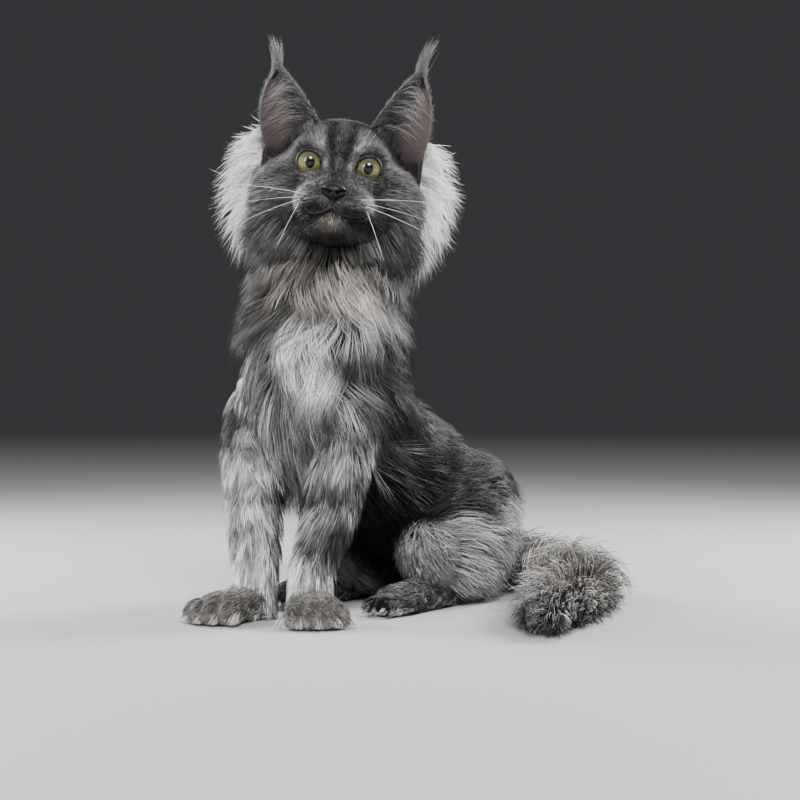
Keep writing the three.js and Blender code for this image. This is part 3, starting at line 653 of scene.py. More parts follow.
def coloured_material(name, roughness, specular, mottle, bump=0.0, coat=0.0):
    """A material with the attribute colour, and a bump of the same fine noise where bump is set."""
    material = bpy.data.materials.new(name)
    material.use_nodes = True
    nodes, links = material.node_tree.nodes, material.node_tree.links
    surface = nodes["Principled BSDF"]
    colour = nodes.new("ShaderNodeGroup")
    colour.node_tree = COLOUR_GROUP
    colour.inputs["Mottle"].default_value = mottle
    links.new(colour.outputs["Colour"], surface.inputs["Base Color"])
    surface.inputs["Roughness"].default_value = roughness
    surface.inputs["Specular IOR Level"].default_value = specular
    surface.inputs["Coat Weight"].default_value = coat
    surface.inputs["Coat Roughness"].default_value = 0.04
    if bump:
        raised = nodes.new("ShaderNodeBump")
        raised.inputs["Strength"].default_value = bump
        raised.inputs["Distance"].default_value = 0.0006
        links.new(colour.outputs["Height"], raised.inputs["Height"])
        links.new(raised.outputs["Normal"], surface.inputs["Normal"])
    return material


def add_mesh(name, points, faces, material, colours=None, uv=None, smooth_faces=True, in_head=False):
    """A piece from points and faces of 3 or 4 corners, riding on the one body."""
    points = from_head(points) if in_head else points
    mesh = bpy.data.meshes.new(name)
    sizes = np.concatenate([np.full(len(f), f.shape[1]) for f in faces])
    corners = np.concatenate([f.ravel() for f in faces]).astype(np.int32)
    mesh.vertices.add(len(points))
    mesh.vertices.foreach_set("co", to_frame(points).astype(np.float32).ravel())
    mesh.loops.add(len(corners))
    mesh.loops.foreach_set("vertex_index", corners)
    mesh.polygons.add(len(sizes))
    mesh.polygons.foreach_set("loop_start", np.concatenate([[0], np.cumsum(sizes)[:-1]]).astype(np.int32))
    mesh.polygons.foreach_set("use_smooth", np.full(len(sizes), smooth_faces))
    if uv is not None:
        mesh.uv_layers.new(name="OFBake").data.foreach_set("uv", uv.astype(np.float32).ravel())
    mesh.update(calc_edges=True)
    mesh.validate()
    if colours is not None:
        layer = mesh.color_attributes.new("Coat", "FLOAT_COLOR", "POINT")
        rgba = np.concatenate([np.clip(colours, 0, 1), np.ones((len(points), 1))], 1)
        layer.data.foreach_set("color", rgba.astype(np.float32).ravel())
    mesh.materials.append(material)
    piece = bpy.data.objects.new(name, mesh)
    bpy.context.scene.collection.objects.link(piece)
    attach(piece, "root")
    return piece


SKIN = coloured_material("skin under the coat", 0.75, 0.2, 0.4, bump=0.6)
SKIN_GRAIN, SKIN_ROUNDS = 1.7, 6
SHAPES = [head_skin()]
SHAPES += [limb_skin(limb) for limb, _ in MARKS]
SHAPES += [egg(*each) for start, heading in WRISTS.values() for each in paw_eggs(start, heading)]
skin_points, skin_faces = fused(SHAPES, SKIN_GRAIN, SKIN_ROUNDS)
skin_points[:, 2] = np.maximum(skin_points[:, 2], 0.0)
skin = add_mesh("skin", skin_points, skin_faces, SKIN, skin_colours(skin_points))
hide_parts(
    "head", "neck", "chest", "torso", "foreleg_left", "foreleg_right", "forepaw_left", "forepaw_right",
    "haunch_left", "haunch_right", "hindfoot_left", "hindfoot_right",
    "tail_base", "tail_mid_1", "tail_mid_2", "tail_tip",
)


# Coat of the body: long soft guard hairs of keratin over the whole body, smoke black with silver marks.
# Each is rooted in the skin and lies along its part in a tuft with its neighbours, out to the tips of the
# solids' locks. A hair is a thin closed strand of three sides, coloured from root to tip by the marks.
HAIR = coloured_material("hair", 0.5, 0.2, 0.35)
STRAND_TURNS = np.radians([-25.0, 90.0, 205.0])
PATCH = 0.003  # width of one hair's place on its piece's map
LOWEST_LINE, LOWEST_FACE = 0.6, 0.2  # how near the floor a hair's line and its faces come


def strands(paths, widths, outs):
    """Closed tapering hairs of three sides along paths (n, k, 3), whose last point is the tip.

    Ring k has the corners path + half_k (across cos(a) + 0.7 out sin(a)), and half_k falls to 0 at the tip.
    """
    count, steps = paths.shape[:2]
    rings = steps - 1
    along = normalized(np.gradient(paths, axis=1))
    across = normalized(np.cross(along, outs[:, None]))
    out = np.cross(across, along)
    u = np.arange(rings) / rings
    half = widths[:, None] / 2 * (0.55 + 0.45 * np.sin(np.pi * np.minimum(u * 1.3 + 0.12, 1)))
    wide = across[:, :rings, None] * np.cos(STRAND_TURNS)[:, None]
    tall = out[:, :rings, None] * (0.7 * np.sin(STRAND_TURNS))[:, None]
    body = (paths[:, :rings, None] + half[:, :, None, None] * (wide + tall)).reshape(count, rings * 3, 3)
    points = np.concatenate([body, paths[:, -1:]], 1)
    corner, start = np.arange(3), (np.arange(count) * (rings * 3 + 1))[:, None, None]
    after = (corner + 1) % 3
    level = np.arange(rings - 1)[:, None] * 3
    quads = np.stack([level + corner, level + after, level + after + 3, level + corner + 3], -1)
    quads = quads.reshape(1, -1, 4)
    top = (rings - 1) * 3
    tips = np.stack([top + corner, top + after, np.full(3, rings * 3)], -1)[None]
    tris = np.concatenate([tips, [[[2, 1, 0]]]], 1)
    return points.reshape(-1, 3), [(quads + start).reshape(-1, 4), (tris + start).reshape(-1, 3)]


def strand_uv(roots, steps):
    """Corners of each hair's patch at its root's place: round the hair across u, from root to tip along v."""
    rings = steps - 1
    low, level = np.meshgrid(np.arange(3) / 3 - 0.5, np.arange(rings) / rings - 0.5)
    high, above = low + 1 / 3, level + 1 / rings
    quads = np.stack([low, level, high, level, high, above, low, above], -1)[:-1].reshape(-1, 2)
    low, high, top = low[0], high[0], level[-1]
    tips = np.stack([low, top, high, top, (low + high) / 2, 0 * low + 0.5], -1).reshape(-1, 2)
    base = np.array([(0.5, -0.5), (0.17, -0.48), (-0.5, -0.5)])
    middles = (0.01 + 0.98 * (roots % 1))[:, None]
    quads, ends = middles + quads * PATCH, middles + np.concatenate([tips, base]) * PATCH
    return np.concatenate([quads.reshape(-1, 2), ends.reshape(-1, 2)])


def add_coat(name, slot, *parts, in_head=False):
    """One piece of coat from parts of (paths, widths, outs, root colours, tip colours, places on the map)."""
    shapes, colours, quad_uv, tri_uv = [], [], [], []
    for paths, widths, outs, root, tip, places in parts:
        steps = paths.shape[1]
        paths = from_head(paths) if in_head else paths.copy()
        outs = outs @ TURN.T if in_head else outs
        paths[..., 2] = np.maximum(paths[..., 2], LOWEST_LINE)
        points, faces = strands(paths, widths, outs)
        points[:, 2] = np.maximum(points[:, 2], LOWEST_FACE)
        shapes.append((points, faces))
        u = (np.arange(steps - 1) / (steps - 1))[None, :, None] ** 0.8
        shade = np.repeat(root[:, None] * (1 - u) + tip[:, None] * u, 3, axis=1)
        colours.append(np.concatenate([shade, tip[:, None]], 1).reshape(-1, 3))
        uv = strand_uv(places, steps)
        quad_uv.append(uv[: len(faces[0]) * 4])
        tri_uv.append(uv[len(faces[0]) * 4 :])
    points, faces = joined(shapes)
    add_mesh(name, points, faces, HAIR, np.concatenate(colours), np.concatenate(quad_uv + tri_uv))


def inside_body(p, but=(), head=True):
    """Which points are well inside another part's skin, where no hair is rooted."""
    hidden = head_field(to_head(p)) < -FACE_FUR - 2 if head else np.zeros(len(p), bool)
    for limb, _ in MARKS:
        if not any(limb is other for other in but):
            hidden |= limb.locate(p)[2] < 0.94
    return hidden


def nearest_lead(p, leads):
    """The index of the nearest lead for each point, by squared distance, some points at a time."""
    found = np.zeros(len(p), int)
    square = (leads**2).sum(1)
    for i in range(0, len(p), 2000):
        part = p[i : i + 2000]
        found[i : i + 2000] = np.argmin(square - 2 * part @ leads.T, axis=1)
    return found


def hair_colours(level, tip_level, warm, draw, smoke, spread=0.15):
    """Root and tip colours, from the marks where the hair shows. A root is darkened, most for pale hair, as
    painted shade deep in the coat, and a tip is lightened. Smoke lightens a root and darkens a tip.
    """
    own = np.exp(spread * draw.normal(size=len(level)))
    # Painted shade: a root gets 0.85 of its level, down to 0.6 for pale hair, against 1.12 at the tip.
    root = own * level * (0.85 - 0.25 * smooth(level, 80, 160)) + smoke * (30 + 0.25 * level)
    tip = own * tip_level * (1.12 - 0.2 * smoke)
    return grey(np.clip(root, 5, 250), warm), grey(np.clip(tip, 5, 250), warm)


def limb_hairs(
    limb, count, seed, marks, steps=4, places=(0.0, 1.0), arc=(0, 360), length=40.0, rise=1.0, width=1.3,
    sweep=0.0, tuft=14, gather=0.45, droop=0.0, head=True, but=(), smoke=0.5, end_short=0.0, curl=16,
):
    """Hairs on a limb. Each runs along it by u length, round it by u lean, and out by lift (1 - (1 - u)^1.5).

    Each hair is drawn towards its tuft's leading hair by gather u^1.5, and sags by droop u^2.
    """
    draw = np.random.default_rng(seed)
    leads = max(count // tuft, 1)
    u = np.linspace(0, 1, steps)

    def paths(place, angle, reach, lean, lift):
        share = lift[:, None] * (1 - (1 - u) ** 1.5) - 0.05 * (1 - u)
        along = place[:, None] + u * (reach / limb.length)[:, None]
        made = limb.at(along, angle[:, None] + lean[:, None] * u, share)
        made[..., 2] -= droop * u**2
        return made

    place, angle = draw.uniform(*places, count + leads), np.radians(draw.uniform(*arc, count + leads))
    root = limb.at(place, angle, np.zeros(count + leads))
    lead = nearest_lead(root[:count], root[count:])
    shorter = 1 - 0.55 * end_short * smooth(place[count:], 0.8, 1)
    tuft_reach = length * draw.uniform(0.75, 1.15, leads) * shorter
    swirl = ripple(root[count:], 42, seed)
    tuft_lean = np.radians(sweep + curl * swirl + 8 * draw.normal(size=leads))
    tuft_lift = rise * draw.uniform(0.78, 1.04, leads)
    guide = paths(place[count:], angle[count:], tuft_reach, tuft_lean, tuft_lift)
    own_share = 0.45 + 0.55 * np.sqrt(draw.uniform(size=count))
    own = paths(
        place[:count], angle[:count], tuft_reach[lead] * own_share * draw.uniform(0.85, 1.1, count),
        tuft_lean[lead] + np.radians(5 * draw.normal(size=count)), tuft_lift[lead] * own_share,
    )
    pull = (gather * u**1.5)[None, :, None] * draw.uniform(0.5, 1.1, count)[:, None, None]
    own += (guide[lead] - own) * pull
    root, angle, place = root[:count], angle[:count], place[:count]
    keep = ~inside_body(root, but=(limb, *but), head=head) & (root[:, 2] > 0.5)
    level, warm = marks(own[:, steps // 2], angle)
    tip_level = marks(own[:, -1], angle)[0]
    shade = np.exp(0.2 * draw.normal(size=leads))[lead]
    outs = normalized(limb.at(place, angle, np.ones(count)) - root)
    smoky = smoke * (1 - smooth(level, 60, 110))
    first, last = hair_colours(level * shade, tip_level * shade, warm, draw, smoky)
    widths = width * draw.uniform(0.7, 1.2, count)
    where = np.stack([angle / (2 * np.pi), place], 1)
    return tuple(a[keep] for a in (own, widths, outs, first, last, where))


add_coat("coat_neck", "coat_smoke", limb_hairs(
    NECK, 8800, 101, mane_marks_and_shade, places=(-0.1, 0.98), length=38, rise=1.12, width=0.58, droop=2, curl=26,
    but=(CHEST,),
))
add_coat("coat_chest", "coat_silver", limb_hairs(
    CHEST, 7400, 102, mane_marks_and_shade, places=(0, 0.95), length=44, width=0.62, droop=2, curl=22,
    but=(NECK, TORSO),
), limb_hairs(
    CHEST, 1300, 103, mane_marks_and_shade, steps=5, places=(0.5, 0.92), arc=(64, 116), length=60, rise=1.3, width=0.6,
    but=(NECK, TORSO),
))
for side_name, side_sign in SIDES.items():
    add_coat(f"coat_foreleg_{side_name}", "coat_silver", limb_hairs(
        FORELEGS[side_name], 5200, 110, leg_marks, places=(0.02, 1.03), length=26, rise=0.9, width=0.55,
        tuft=10, curl=8,
    ))
    add_coat(f"coat_haunch_{side_name}", "coat_smoke", limb_hairs(
        HAUNCHES[side_name], 4700, 120, haunch_marks, length=-34, width=0.68, sweep=-14 * side_sign, droop=6,
    ))
add_coat("coat_torso", "coat_smoke", limb_hairs(
    TORSO, 6900, 130, flank_marks, places=(0.0, 1.05), length=48, width=0.75, droop=4, smoke=0.12,
    but=(CHEST,),
))
add_coat("coat_tail", "coat_silver", limb_hairs(
    TAIL, 5500, 140, tail_marks, steps=5, places=(0.0, 0.97), length=58, width=0.95, smoke=0.3, curl=10,
    end_short=0.6,
))

# Eyes: wet glossy balls that look at the viewer, with an upright oval pupil in a yellow-green iris that
# is darker olive at the top, partly its own colour and partly painted shadow of the upper lid. Each sits in
# its socket in the skin, raised in front by the clear cornea.
EYE = coloured_material("eye", 0.25, 0.1, 0.15, coat=0.6)
CAMERA_AT = np.array([47.4, -1490.0, 172.0])
PUPIL, IRIS = (3.7, 4.7), 9.9
GAZE_RISE = np.array([0.0, 0.0, -0.01])
IRIS_INNER, IRIS_OUTER = np.array([0.12, 0.11, 0.052]), np.array([0.19, 0.155, 0.062])
IRIS_TOP_AND_LID_SHADOW, IRIS_RIM, PUPIL_BLACK = (0.02, 0.022, 0.014), (0.012, 0.01, 0.006), (0.003, 0.003, 0.004)


def mix(a, b, share):
    """a + (b - a) share, for colours."""
    return a + (b - a) * np.asarray(share)[..., None]


def eye(name, side):
    """A ball whose pole looks at the viewer, raised there by 0.9 exp(-(t / 0.62)^4), t from the pole."""
    middle = EYE_AT * (side, 1, 1)
    gaze = normalized(normalized(to_head(CAMERA_AT) - middle) + GAZE_RISE)
    across = normalized(np.cross((0, 0, 1.0), gaze))
    up = np.cross(gaze, across)
    t = np.linspace(0.004, 2.2, 90)[:, None]
    a = np.arange(120)[None] / 120 * 2 * np.pi
    radius = EYE_RADIUS - 0.4 + 0.9 * np.exp(-((t / 0.62) ** 4))
    x, z = radius * np.sin(t) * np.cos(a), radius * np.sin(t) * np.sin(a)
    forward = radius * np.cos(t) + 0 * a
    rings = middle + x[..., None] * across + z[..., None] * up + forward[..., None] * gaze
    points, faces = closed(rings, (middle + gaze * radius[0, 0], middle - gaze * 5))
    out = np.hypot(x, z) / IRIS
    pupil = 1 - smooth(np.hypot(x / PUPIL[0], z / PUPIL[1]), 0.93, 1.06)
    rays = 0.14 * np.sin(a * 23 + 3 * np.sin(a * 5)) * np.sin(a * 41) + 0 * t
    iris = mix(IRIS_INNER, IRIS_OUTER, np.clip(smooth(out, 0.4, 0.9) + rays, 0, 1))
    # Painted shadow of the upper lid, over the iris's own darker olive top.
    iris = mix(iris, np.array(IRIS_TOP_AND_LID_SHADOW), 0.85 * smooth(z / IRIS, -0.2, 0.6))
    iris = mix(iris, np.array(IRIS_RIM), smooth(out, 0.88, 0.99))
    colours = mix(iris, np.array(PUPIL_BLACK), pupil).reshape(-1, 3)
    colours = np.vstack([colours, colours[:1], colours[-1:]])
    piece = add_mesh(f"eye_{name}_ball", points, faces, EYE, colours, in_head=True)
    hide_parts(f"eye_{name}")


# Lids: the dark bare edge of soft skin round each eye. It is a closed ring that lies on the ball, thicker
# above, where the extra dark width is painted shadow of the upper lid, and runs out to a point at the nose's
# side. It hides the seam of ball and socket.
LEATHER = coloured_material("nose leather", 0.5, 0.15, 0.3, bump=0.5)
LID_EDGE = {"wide": 9.8, "high": 8.9, "corner": 2.4, "thick": 0.95}
LID_STEPS, LID_SIDES = 96, 10


def lid_line(side, angle):
    """The lids' edge on the ball: an ellipse, drawn out at the inner corner and turned by the slant."""
    x = np.cos(angle) * LID_EDGE["wide"] - LID_EDGE["corner"] * smooth(-np.cos(angle), 0.8, 1)
    z = np.sin(angle) * LID_EDGE["high"] * (1 - 0.25 * smooth(-np.cos(angle), 0.6, 1))
    z -= 1.2 * smooth(-np.cos(angle), 0.7, 1)
    y = -np.sqrt(np.maximum((EYE_RADIUS + 0.7) ** 2 - x * x - (z - SOCKET["drop"]) ** 2, 4.0))
    c, s = math.cos(SOCKET["slant"]), math.sin(SOCKET["slant"])
    x, z = x * c - z * s, x * s + z * c
    c, s = math.cos(math.radians(2)), math.sin(math.radians(2))
    x, y = x * c - y * s, x * s + y * c
    return np.stack([side * x, y, z - SOCKET["drop"]], -1) + EYE_AT * (side, 1, 1)


def lids(name, side):
    """A closed ring round the lids' edge, whose section is a small oval."""
    angle = np.arange(LID_STEPS) / LID_STEPS * 2 * np.pi
    line = lid_line(side, angle)
    out = normalized(line - EYE_AT * (side, 1, 1))
    along = normalized(lid_line(side, angle + 0.02) - lid_line(side, angle - 0.02))
    across = np.cross(along, out)
    a = np.arange(LID_SIDES)[None, :, None] / LID_SIDES * 2 * np.pi
    section = across[:, None] * np.cos(a) + 0.8 * out[:, None] * np.sin(a)
    # Painted shadow: the upper lid half again as thick, dark where the lid shades the eye.
    thick = LID_EDGE["thick"] * (1 + 0.5 * smooth(np.sin(angle), 0.2, 0.9))
    points = (line[:, None] + section * thick[:, None, None]).reshape(-1, 3)
    faces = grid_faces(LID_STEPS + 1, LID_SIDES) % len(points)
    colours = np.full(points.shape, 0.006)
    add_mesh(f"lids_{name}", points, [faces], LEATHER, colours, in_head=True)


for side_name, side_sign in SIDES.items():
    eye(side_name, side_sign)
    lids(side_name, side_sign)


# Nose: a pad of bare pebbled skin, like leather, broad above and narrow below, grown to the muzzle's tip
# by its back. A nostril shaped like a comma is sunk in each side, and a groove runs down the middle.
NOSE = {"z": -25.5, "wide": 10.0, "high": 6.6, "deep": 6.0}


def face_point(x, z):
    """The head's outline straight in front of a place on the face, found by halving steps along Y."""
    x, z = np.asarray(x, float), np.asarray(z, float)
    near, far = np.full(x.shape, -10.0), np.full(x.shape, -95.0)
    for _ in range(22):
        half = (near + far) / 2
        inside = head_field(np.stack([x, half, z], -1)) < 0
        near, far = np.where(inside, half, near), np.where(inside, far, half)
    return np.stack([x, near, z], -1)


def nose():
    """An egg narrowed below by 1 + 0.55 z, pressed in along the nostrils and down the middle."""
    points, faces = egg((0, 0, 0), (1, 1, 1), 0, rows=70, columns=90)
    narrow = np.where(points[:, 2] < 0, 1 + 0.55 * points[:, 2], 1)
    points[:, 0] *= narrow
    points *= (NOSE["wide"], NOSE["deep"], NOSE["high"])
    a, z = np.abs(points[:, 0]), points[:, 2]
    nostril = np.stack([np.linspace(2.9, 8.6, 12), 1.3 * np.sin(np.linspace(-1.5, 1.2, 12)) + 0.2], 1)
    away = np.min(np.hypot(a[:, None] - nostril[:, 0], z[:, None] - nostril[:, 1]), axis=1)
    dent = 3.0 * np.exp(-((away / 1.25) ** 2)) + 0.7 * np.exp(-((a / 0.7) ** 2)) * (z < 1)
    points[:, 1] += dent * (points[:, 1] < 0)
    # Painted shade: the leather darker round the nostrils, in their hollows, and paler towards the pad's top.
    colours = grey(17 - 12 * np.exp(-((away / 1.6) ** 2)) + 12 * smooth(z, 2, 6), 0.04)
    points += (0, face_point(0.0, NOSE["z"])[1] + NOSE["deep"] * 0.5, NOSE["z"])
    piece = add_mesh("nose_pad", points, faces, LEATHER, colours, in_head=True)
    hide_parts("nose")


nose()


# Mouth: the dark bare edge of the closed lips, split under the nose and curving up to a corner on each
# side. It is the same soft dark leather as the nose, and lies in the furrow of the skin.
def tube(path, radii, sides=8):
    """A closed tube round a path, with its radius at each point."""
    along = normalized(np.gradient(path, axis=0))
    across = normalized(np.cross(along, (0.13, 0.22, 0.97)))
    up = np.cross(along, across)
    a = np.arange(sides)[None, :, None] / sides * 2 * np.pi
    ring = across[:, None] * np.cos(a) + up[:, None] * np.sin(a)
    return closed(path[:, None] + ring * np.asarray(radii)[:, None, None], (path[0], path[-1]))


def lips():
    """Tubes along the line of the mouth on the face's outline, and one from its middle up to the nose."""
    t = np.linspace(0, 1, 24)
    line = mouth_line(t)
    down = np.linspace(NOSE["z"] - NOSE["high"] + 1, MOUTH[0][1] - 0.5, 10)
    runs = [(line * (side, 1), 1.1 - 0.5 * t) for side in (1, -1)]
    runs.append((np.c_[0 * down, down], np.full(10, 0.8)))
    points, faces = joined([tube(face_point(*flat.T) + (0, 0.3, 0), thick) for flat, thick in runs])
    add_mesh("lips", points, faces, LEATHER, np.full(points.shape, 0.008), in_head=True)


lips()


# Coat of the head: hair that is short on the nose and round the eyes, and longer back over the crown and
# down the cheeks and jaw. It grows from the skin, lies away from the nose, and leaves the lids, nose and
# lips bare.
FLOW_FROM = np.array([0.0, -68.0, -29.0])
BARE_EYE, BARE_NOSE, BARE_LIP = (11.0, 9.5), (9.5, 7.2), 0.8


def head_normals(p):
    """The gradient of the head's field, by differences."""
    step = np.eye(3) * 0.4
    return normalized(np.stack([head_field(p + d) - head_field(p - d) for d in step], -1))


def head_roots(count, draw, weight):
    """Places on the head's outline, drawn from the grid's cells by their area times a weight."""
    rows, columns = 150, 200
    polar, turn = polar_grid(rows, columns, 0.02)
    p = on_head(head_ways(polar, turn))
    area = np.linalg.norm(np.cross(np.gradient(p, axis=0), np.gradient(p, axis=1)), axis=-1)
    share = (area * weight(p)).ravel()
    cell = draw.choice(share.size, count, p=share / share.sum())
    polar = polar.ravel()[cell] + draw.uniform(-0.5, 0.5, count) * np.pi / (rows - 1)
    turn = turn.ravel()[cell] + draw.uniform(-0.5, 0.5, count) * 2 * np.pi / columns
    return on_head(head_ways(polar, turn)), np.stack([turn / (2 * np.pi), polar / np.pi], 1)


def head_hairs(
    count, seed, steps, weight, length, width, fluff, tuft=8, gather=0.4, free=None, pull=(0, 0, 0),
):
    """Hairs on the head. Each follows the outline away from the nose and rises from the skin to its fluff.

    A free share of each runs straight instead, in the direction it has on the skin with the pull added.
    """
    draw = np.random.default_rng(seed)
    leads = max(count // tuft, 1)
    root, where = head_roots(count + leads, draw, weight)
    normal = head_normals(root)
    way = root - FLOW_FROM
    back = smooth(root[:, 1], -6, 26)[:, None]
    way = normalized(way) * (1 - back) + np.array([0, 0.5, -1.0]) * back
    way[:, 2] -= 0.35 * smooth(np.abs(root[:, 0]), 18, 45) * (1 - back[:, 0]) * (root[:, 2] < 0)
    way += 0.13 * draw.normal(size=way.shape)
    loose = np.zeros((len(root), 1)) if free is None else free(root)[:, None]
    sides = np.sign(root[:, :1]) * (1, 0, 0) + (0, 1, 1)
    way = way - normal * (way * normal).sum(1, keepdims=True) * (1 - loose)
    way = normalized(way + np.array(pull, float) * sides * loose)
    reach = length(root) * draw.uniform(0.75, 1.15, count + leads)
    gap = mouth_distance(root)
    reach = np.where(gap > 0, np.minimum(reach, 1.2 + gap), reach)
    height = fluff(root) * draw.uniform(0.5, 1.1, count + leads)
    u = np.linspace(0, 1, steps)
    run = root[:, None] + way[:, None] * (reach[:, None] * u)[..., None]
    paths = on_head(normalized(run - HEAD_CENTRE))
    paths += (run - paths) * loose[..., None]
    rise = -FACE_FUR - 0.3 + (FACE_FUR + height[:, None]) * (1 - (1 - u) ** 1.5)
    paths += normal[:, None] * rise[..., None]
    lead = nearest_lead(root[:count], root[count:])
    paths = paths[:count] + (paths[count:][lead] - paths[:count]) * (gather * u**1.5)[None, :, None]
    root, normal, where = root[:count], normal[:count], where[:count]
    along, over = eye_axes(root)
    keep = (np.hypot(along / BARE_EYE[0], over / BARE_EYE[1]) > 1) | (root[:, 1] > -15)
    keep &= np.abs(mouth_distance(root)) > BARE_LIP
    off_nose = np.hypot(root[:, 0] / BARE_NOSE[0], (root[:, 2] - NOSE["z"]) / BARE_NOSE[1])
    keep &= (off_nose > 1) | (root[:, 1] > -50)
    keep &= NECK.locate(from_head(root))[2] > 0.9
    level, warm = head_marks_and_shade(root)
    first, last = hair_colours(level, head_marks_and_shade(paths[:, -1])[0], warm, draw, 0 * level, spread=0.17)
    widths = width * draw.uniform(0.7, 1.2, count)
    return tuple(v[keep] for v in (paths, widths, normal, first, last, where))


def steady(value):
    """A function that gives every point the same value."""
    return lambda p: value + 0 * p[:, 0]


def face_length(p):
    """Short at the nose, growing with the distance from it, and longest low on the cheeks."""
    away = np.linalg.norm(p - FLOW_FROM, axis=-1)
    return 3 + 0.09 * away + 9 * smooth(np.abs(p[:, 0]), 30, 52) * smooth(-p[:, 2], 0, 30)


def face_weight(p):
    """The front of the head, between the cheeks."""
    return smooth(-p[..., 1], 2, 14) * (1 - smooth(np.abs(p[..., 0]), 34, 46))


def cheek_weight(p):
    """The outer cheeks, from before the ruffs' roots to behind them."""
    return smooth(np.abs(p[..., 0]), 28, 44) * smooth(-p[..., 1], -20, -6) * smooth(-p[..., 1], -24, 2)


def cheek_length(p):
    """Longer outwards, and longest high up, where the hair hides the roots of the ruffs."""
    a = np.abs(p[:, 0])
    return 12 + 8 * smooth(a, 36, 56) + 10 * smooth(p[:, 2], -8, 12) * smooth(a, 30, 42)


def jaw_weight(p):
    """Under the chin and the cheeks, and round behind the jaw."""
    return smooth(-p[..., 2], 26, 46) * smooth(p[..., 1], -36, -26) * (p[..., 1] < 30)


def crown_weight(p):
    """The top and back of the head, down to the neck."""
    return smooth(p[..., 1], -16, -4) * (p[..., 2] > -52)


def ear_root_weight(p):
    """A band over the line where the front of an ear meets the head."""
    a, z = np.abs(p[..., 0]), p[..., 2]
    line = 38 - 21 * np.clip((a - 20) / 41, 0, 1)
    return np.exp(-(((z - line) / 5) ** 2)) * (a > 26) * (p[..., 1] < 14) * (p[..., 1] > -30)


def brow_weight(p):
    """The band between the brows and the ears."""
    a = np.abs(p[..., 0])
    above = p[..., 2] - 28 + 21 * np.clip((a - 20) / 41, 0, 1)
    return np.exp(-((above / 8) ** 2)) * (a > 16) * (a < 48) * (p[..., 1] < 14) * (p[..., 1] > -34)


add_coat("coat_face", "coat_smoke", head_hairs(
    15500, 201, 3, face_weight, face_length, 0.45,
    lambda p: 0.4 + 0.018 * np.linalg.norm(p - FLOW_FROM, axis=-1),
), in_head=True)
add_coat("coat_cheeks", "coat_smoke", head_hairs(
    6600, 203, 4, cheek_weight, cheek_length, 0.55, lambda p: 1.5 + 4 * smooth(np.abs(p[:, 0]), 34, 54),
    tuft=12, gather=0.5, free=lambda p: 0.6 * smooth(np.abs(p[:, 0]), 34, 50), pull=(0.3, 0, -0.2),
), in_head=True)
add_coat("coat_jaw", "coat_smoke", head_hairs(
    7400, 204, 4, jaw_weight, lambda p: 20 + 17 * smooth(p[:, 1], -40, 0), 0.55,
    lambda p: 3 + 5 * smooth(p[:, 1], -30, 0),
    tuft=14, gather=0.5, free=steady(0.9), pull=(0.35, -0.12, -0.9),
), in_head=True)
add_coat("coat_crown", "coat_smoke", head_hairs(
    4300, 202, 4, crown_weight, steady(12), 0.5, lambda p: 2.8 + 2.5 * smooth(p[:, 1], 0, 30),
    free=steady(0.3), tuft=5, gather=0.2,
), head_hairs(
    2000, 206, 4, brow_weight, steady(9), 0.45, steady(2.6), gather=0.25,
), head_hairs(
    1500, 205, 4, ear_root_weight, lambda p: 11 + 4 * smooth(np.abs(p[:, 0]), 30, 50), 0.5, steady(2.0),
    tuft=10, free=steady(0.85), pull=(0.15, -0.1, 0.8),
), in_head=True)


# Cheek ruffs: the longest hair of the head, white and silky, in a fan behind each cheek. The hairs are
# rooted in the skin before the ears, and sweep out and down past the jaw in pointed locks.
RUFF_ROOT, RUFF_TIP, RUFF_REACH = (34.0, -30.0), (22.0, -47.0), (90.0, 104.0)


def between(ends, share):
    """The first of two values at share 0 and the second at 1."""
    return ends[0] + (ends[1] - ends[0]) * share


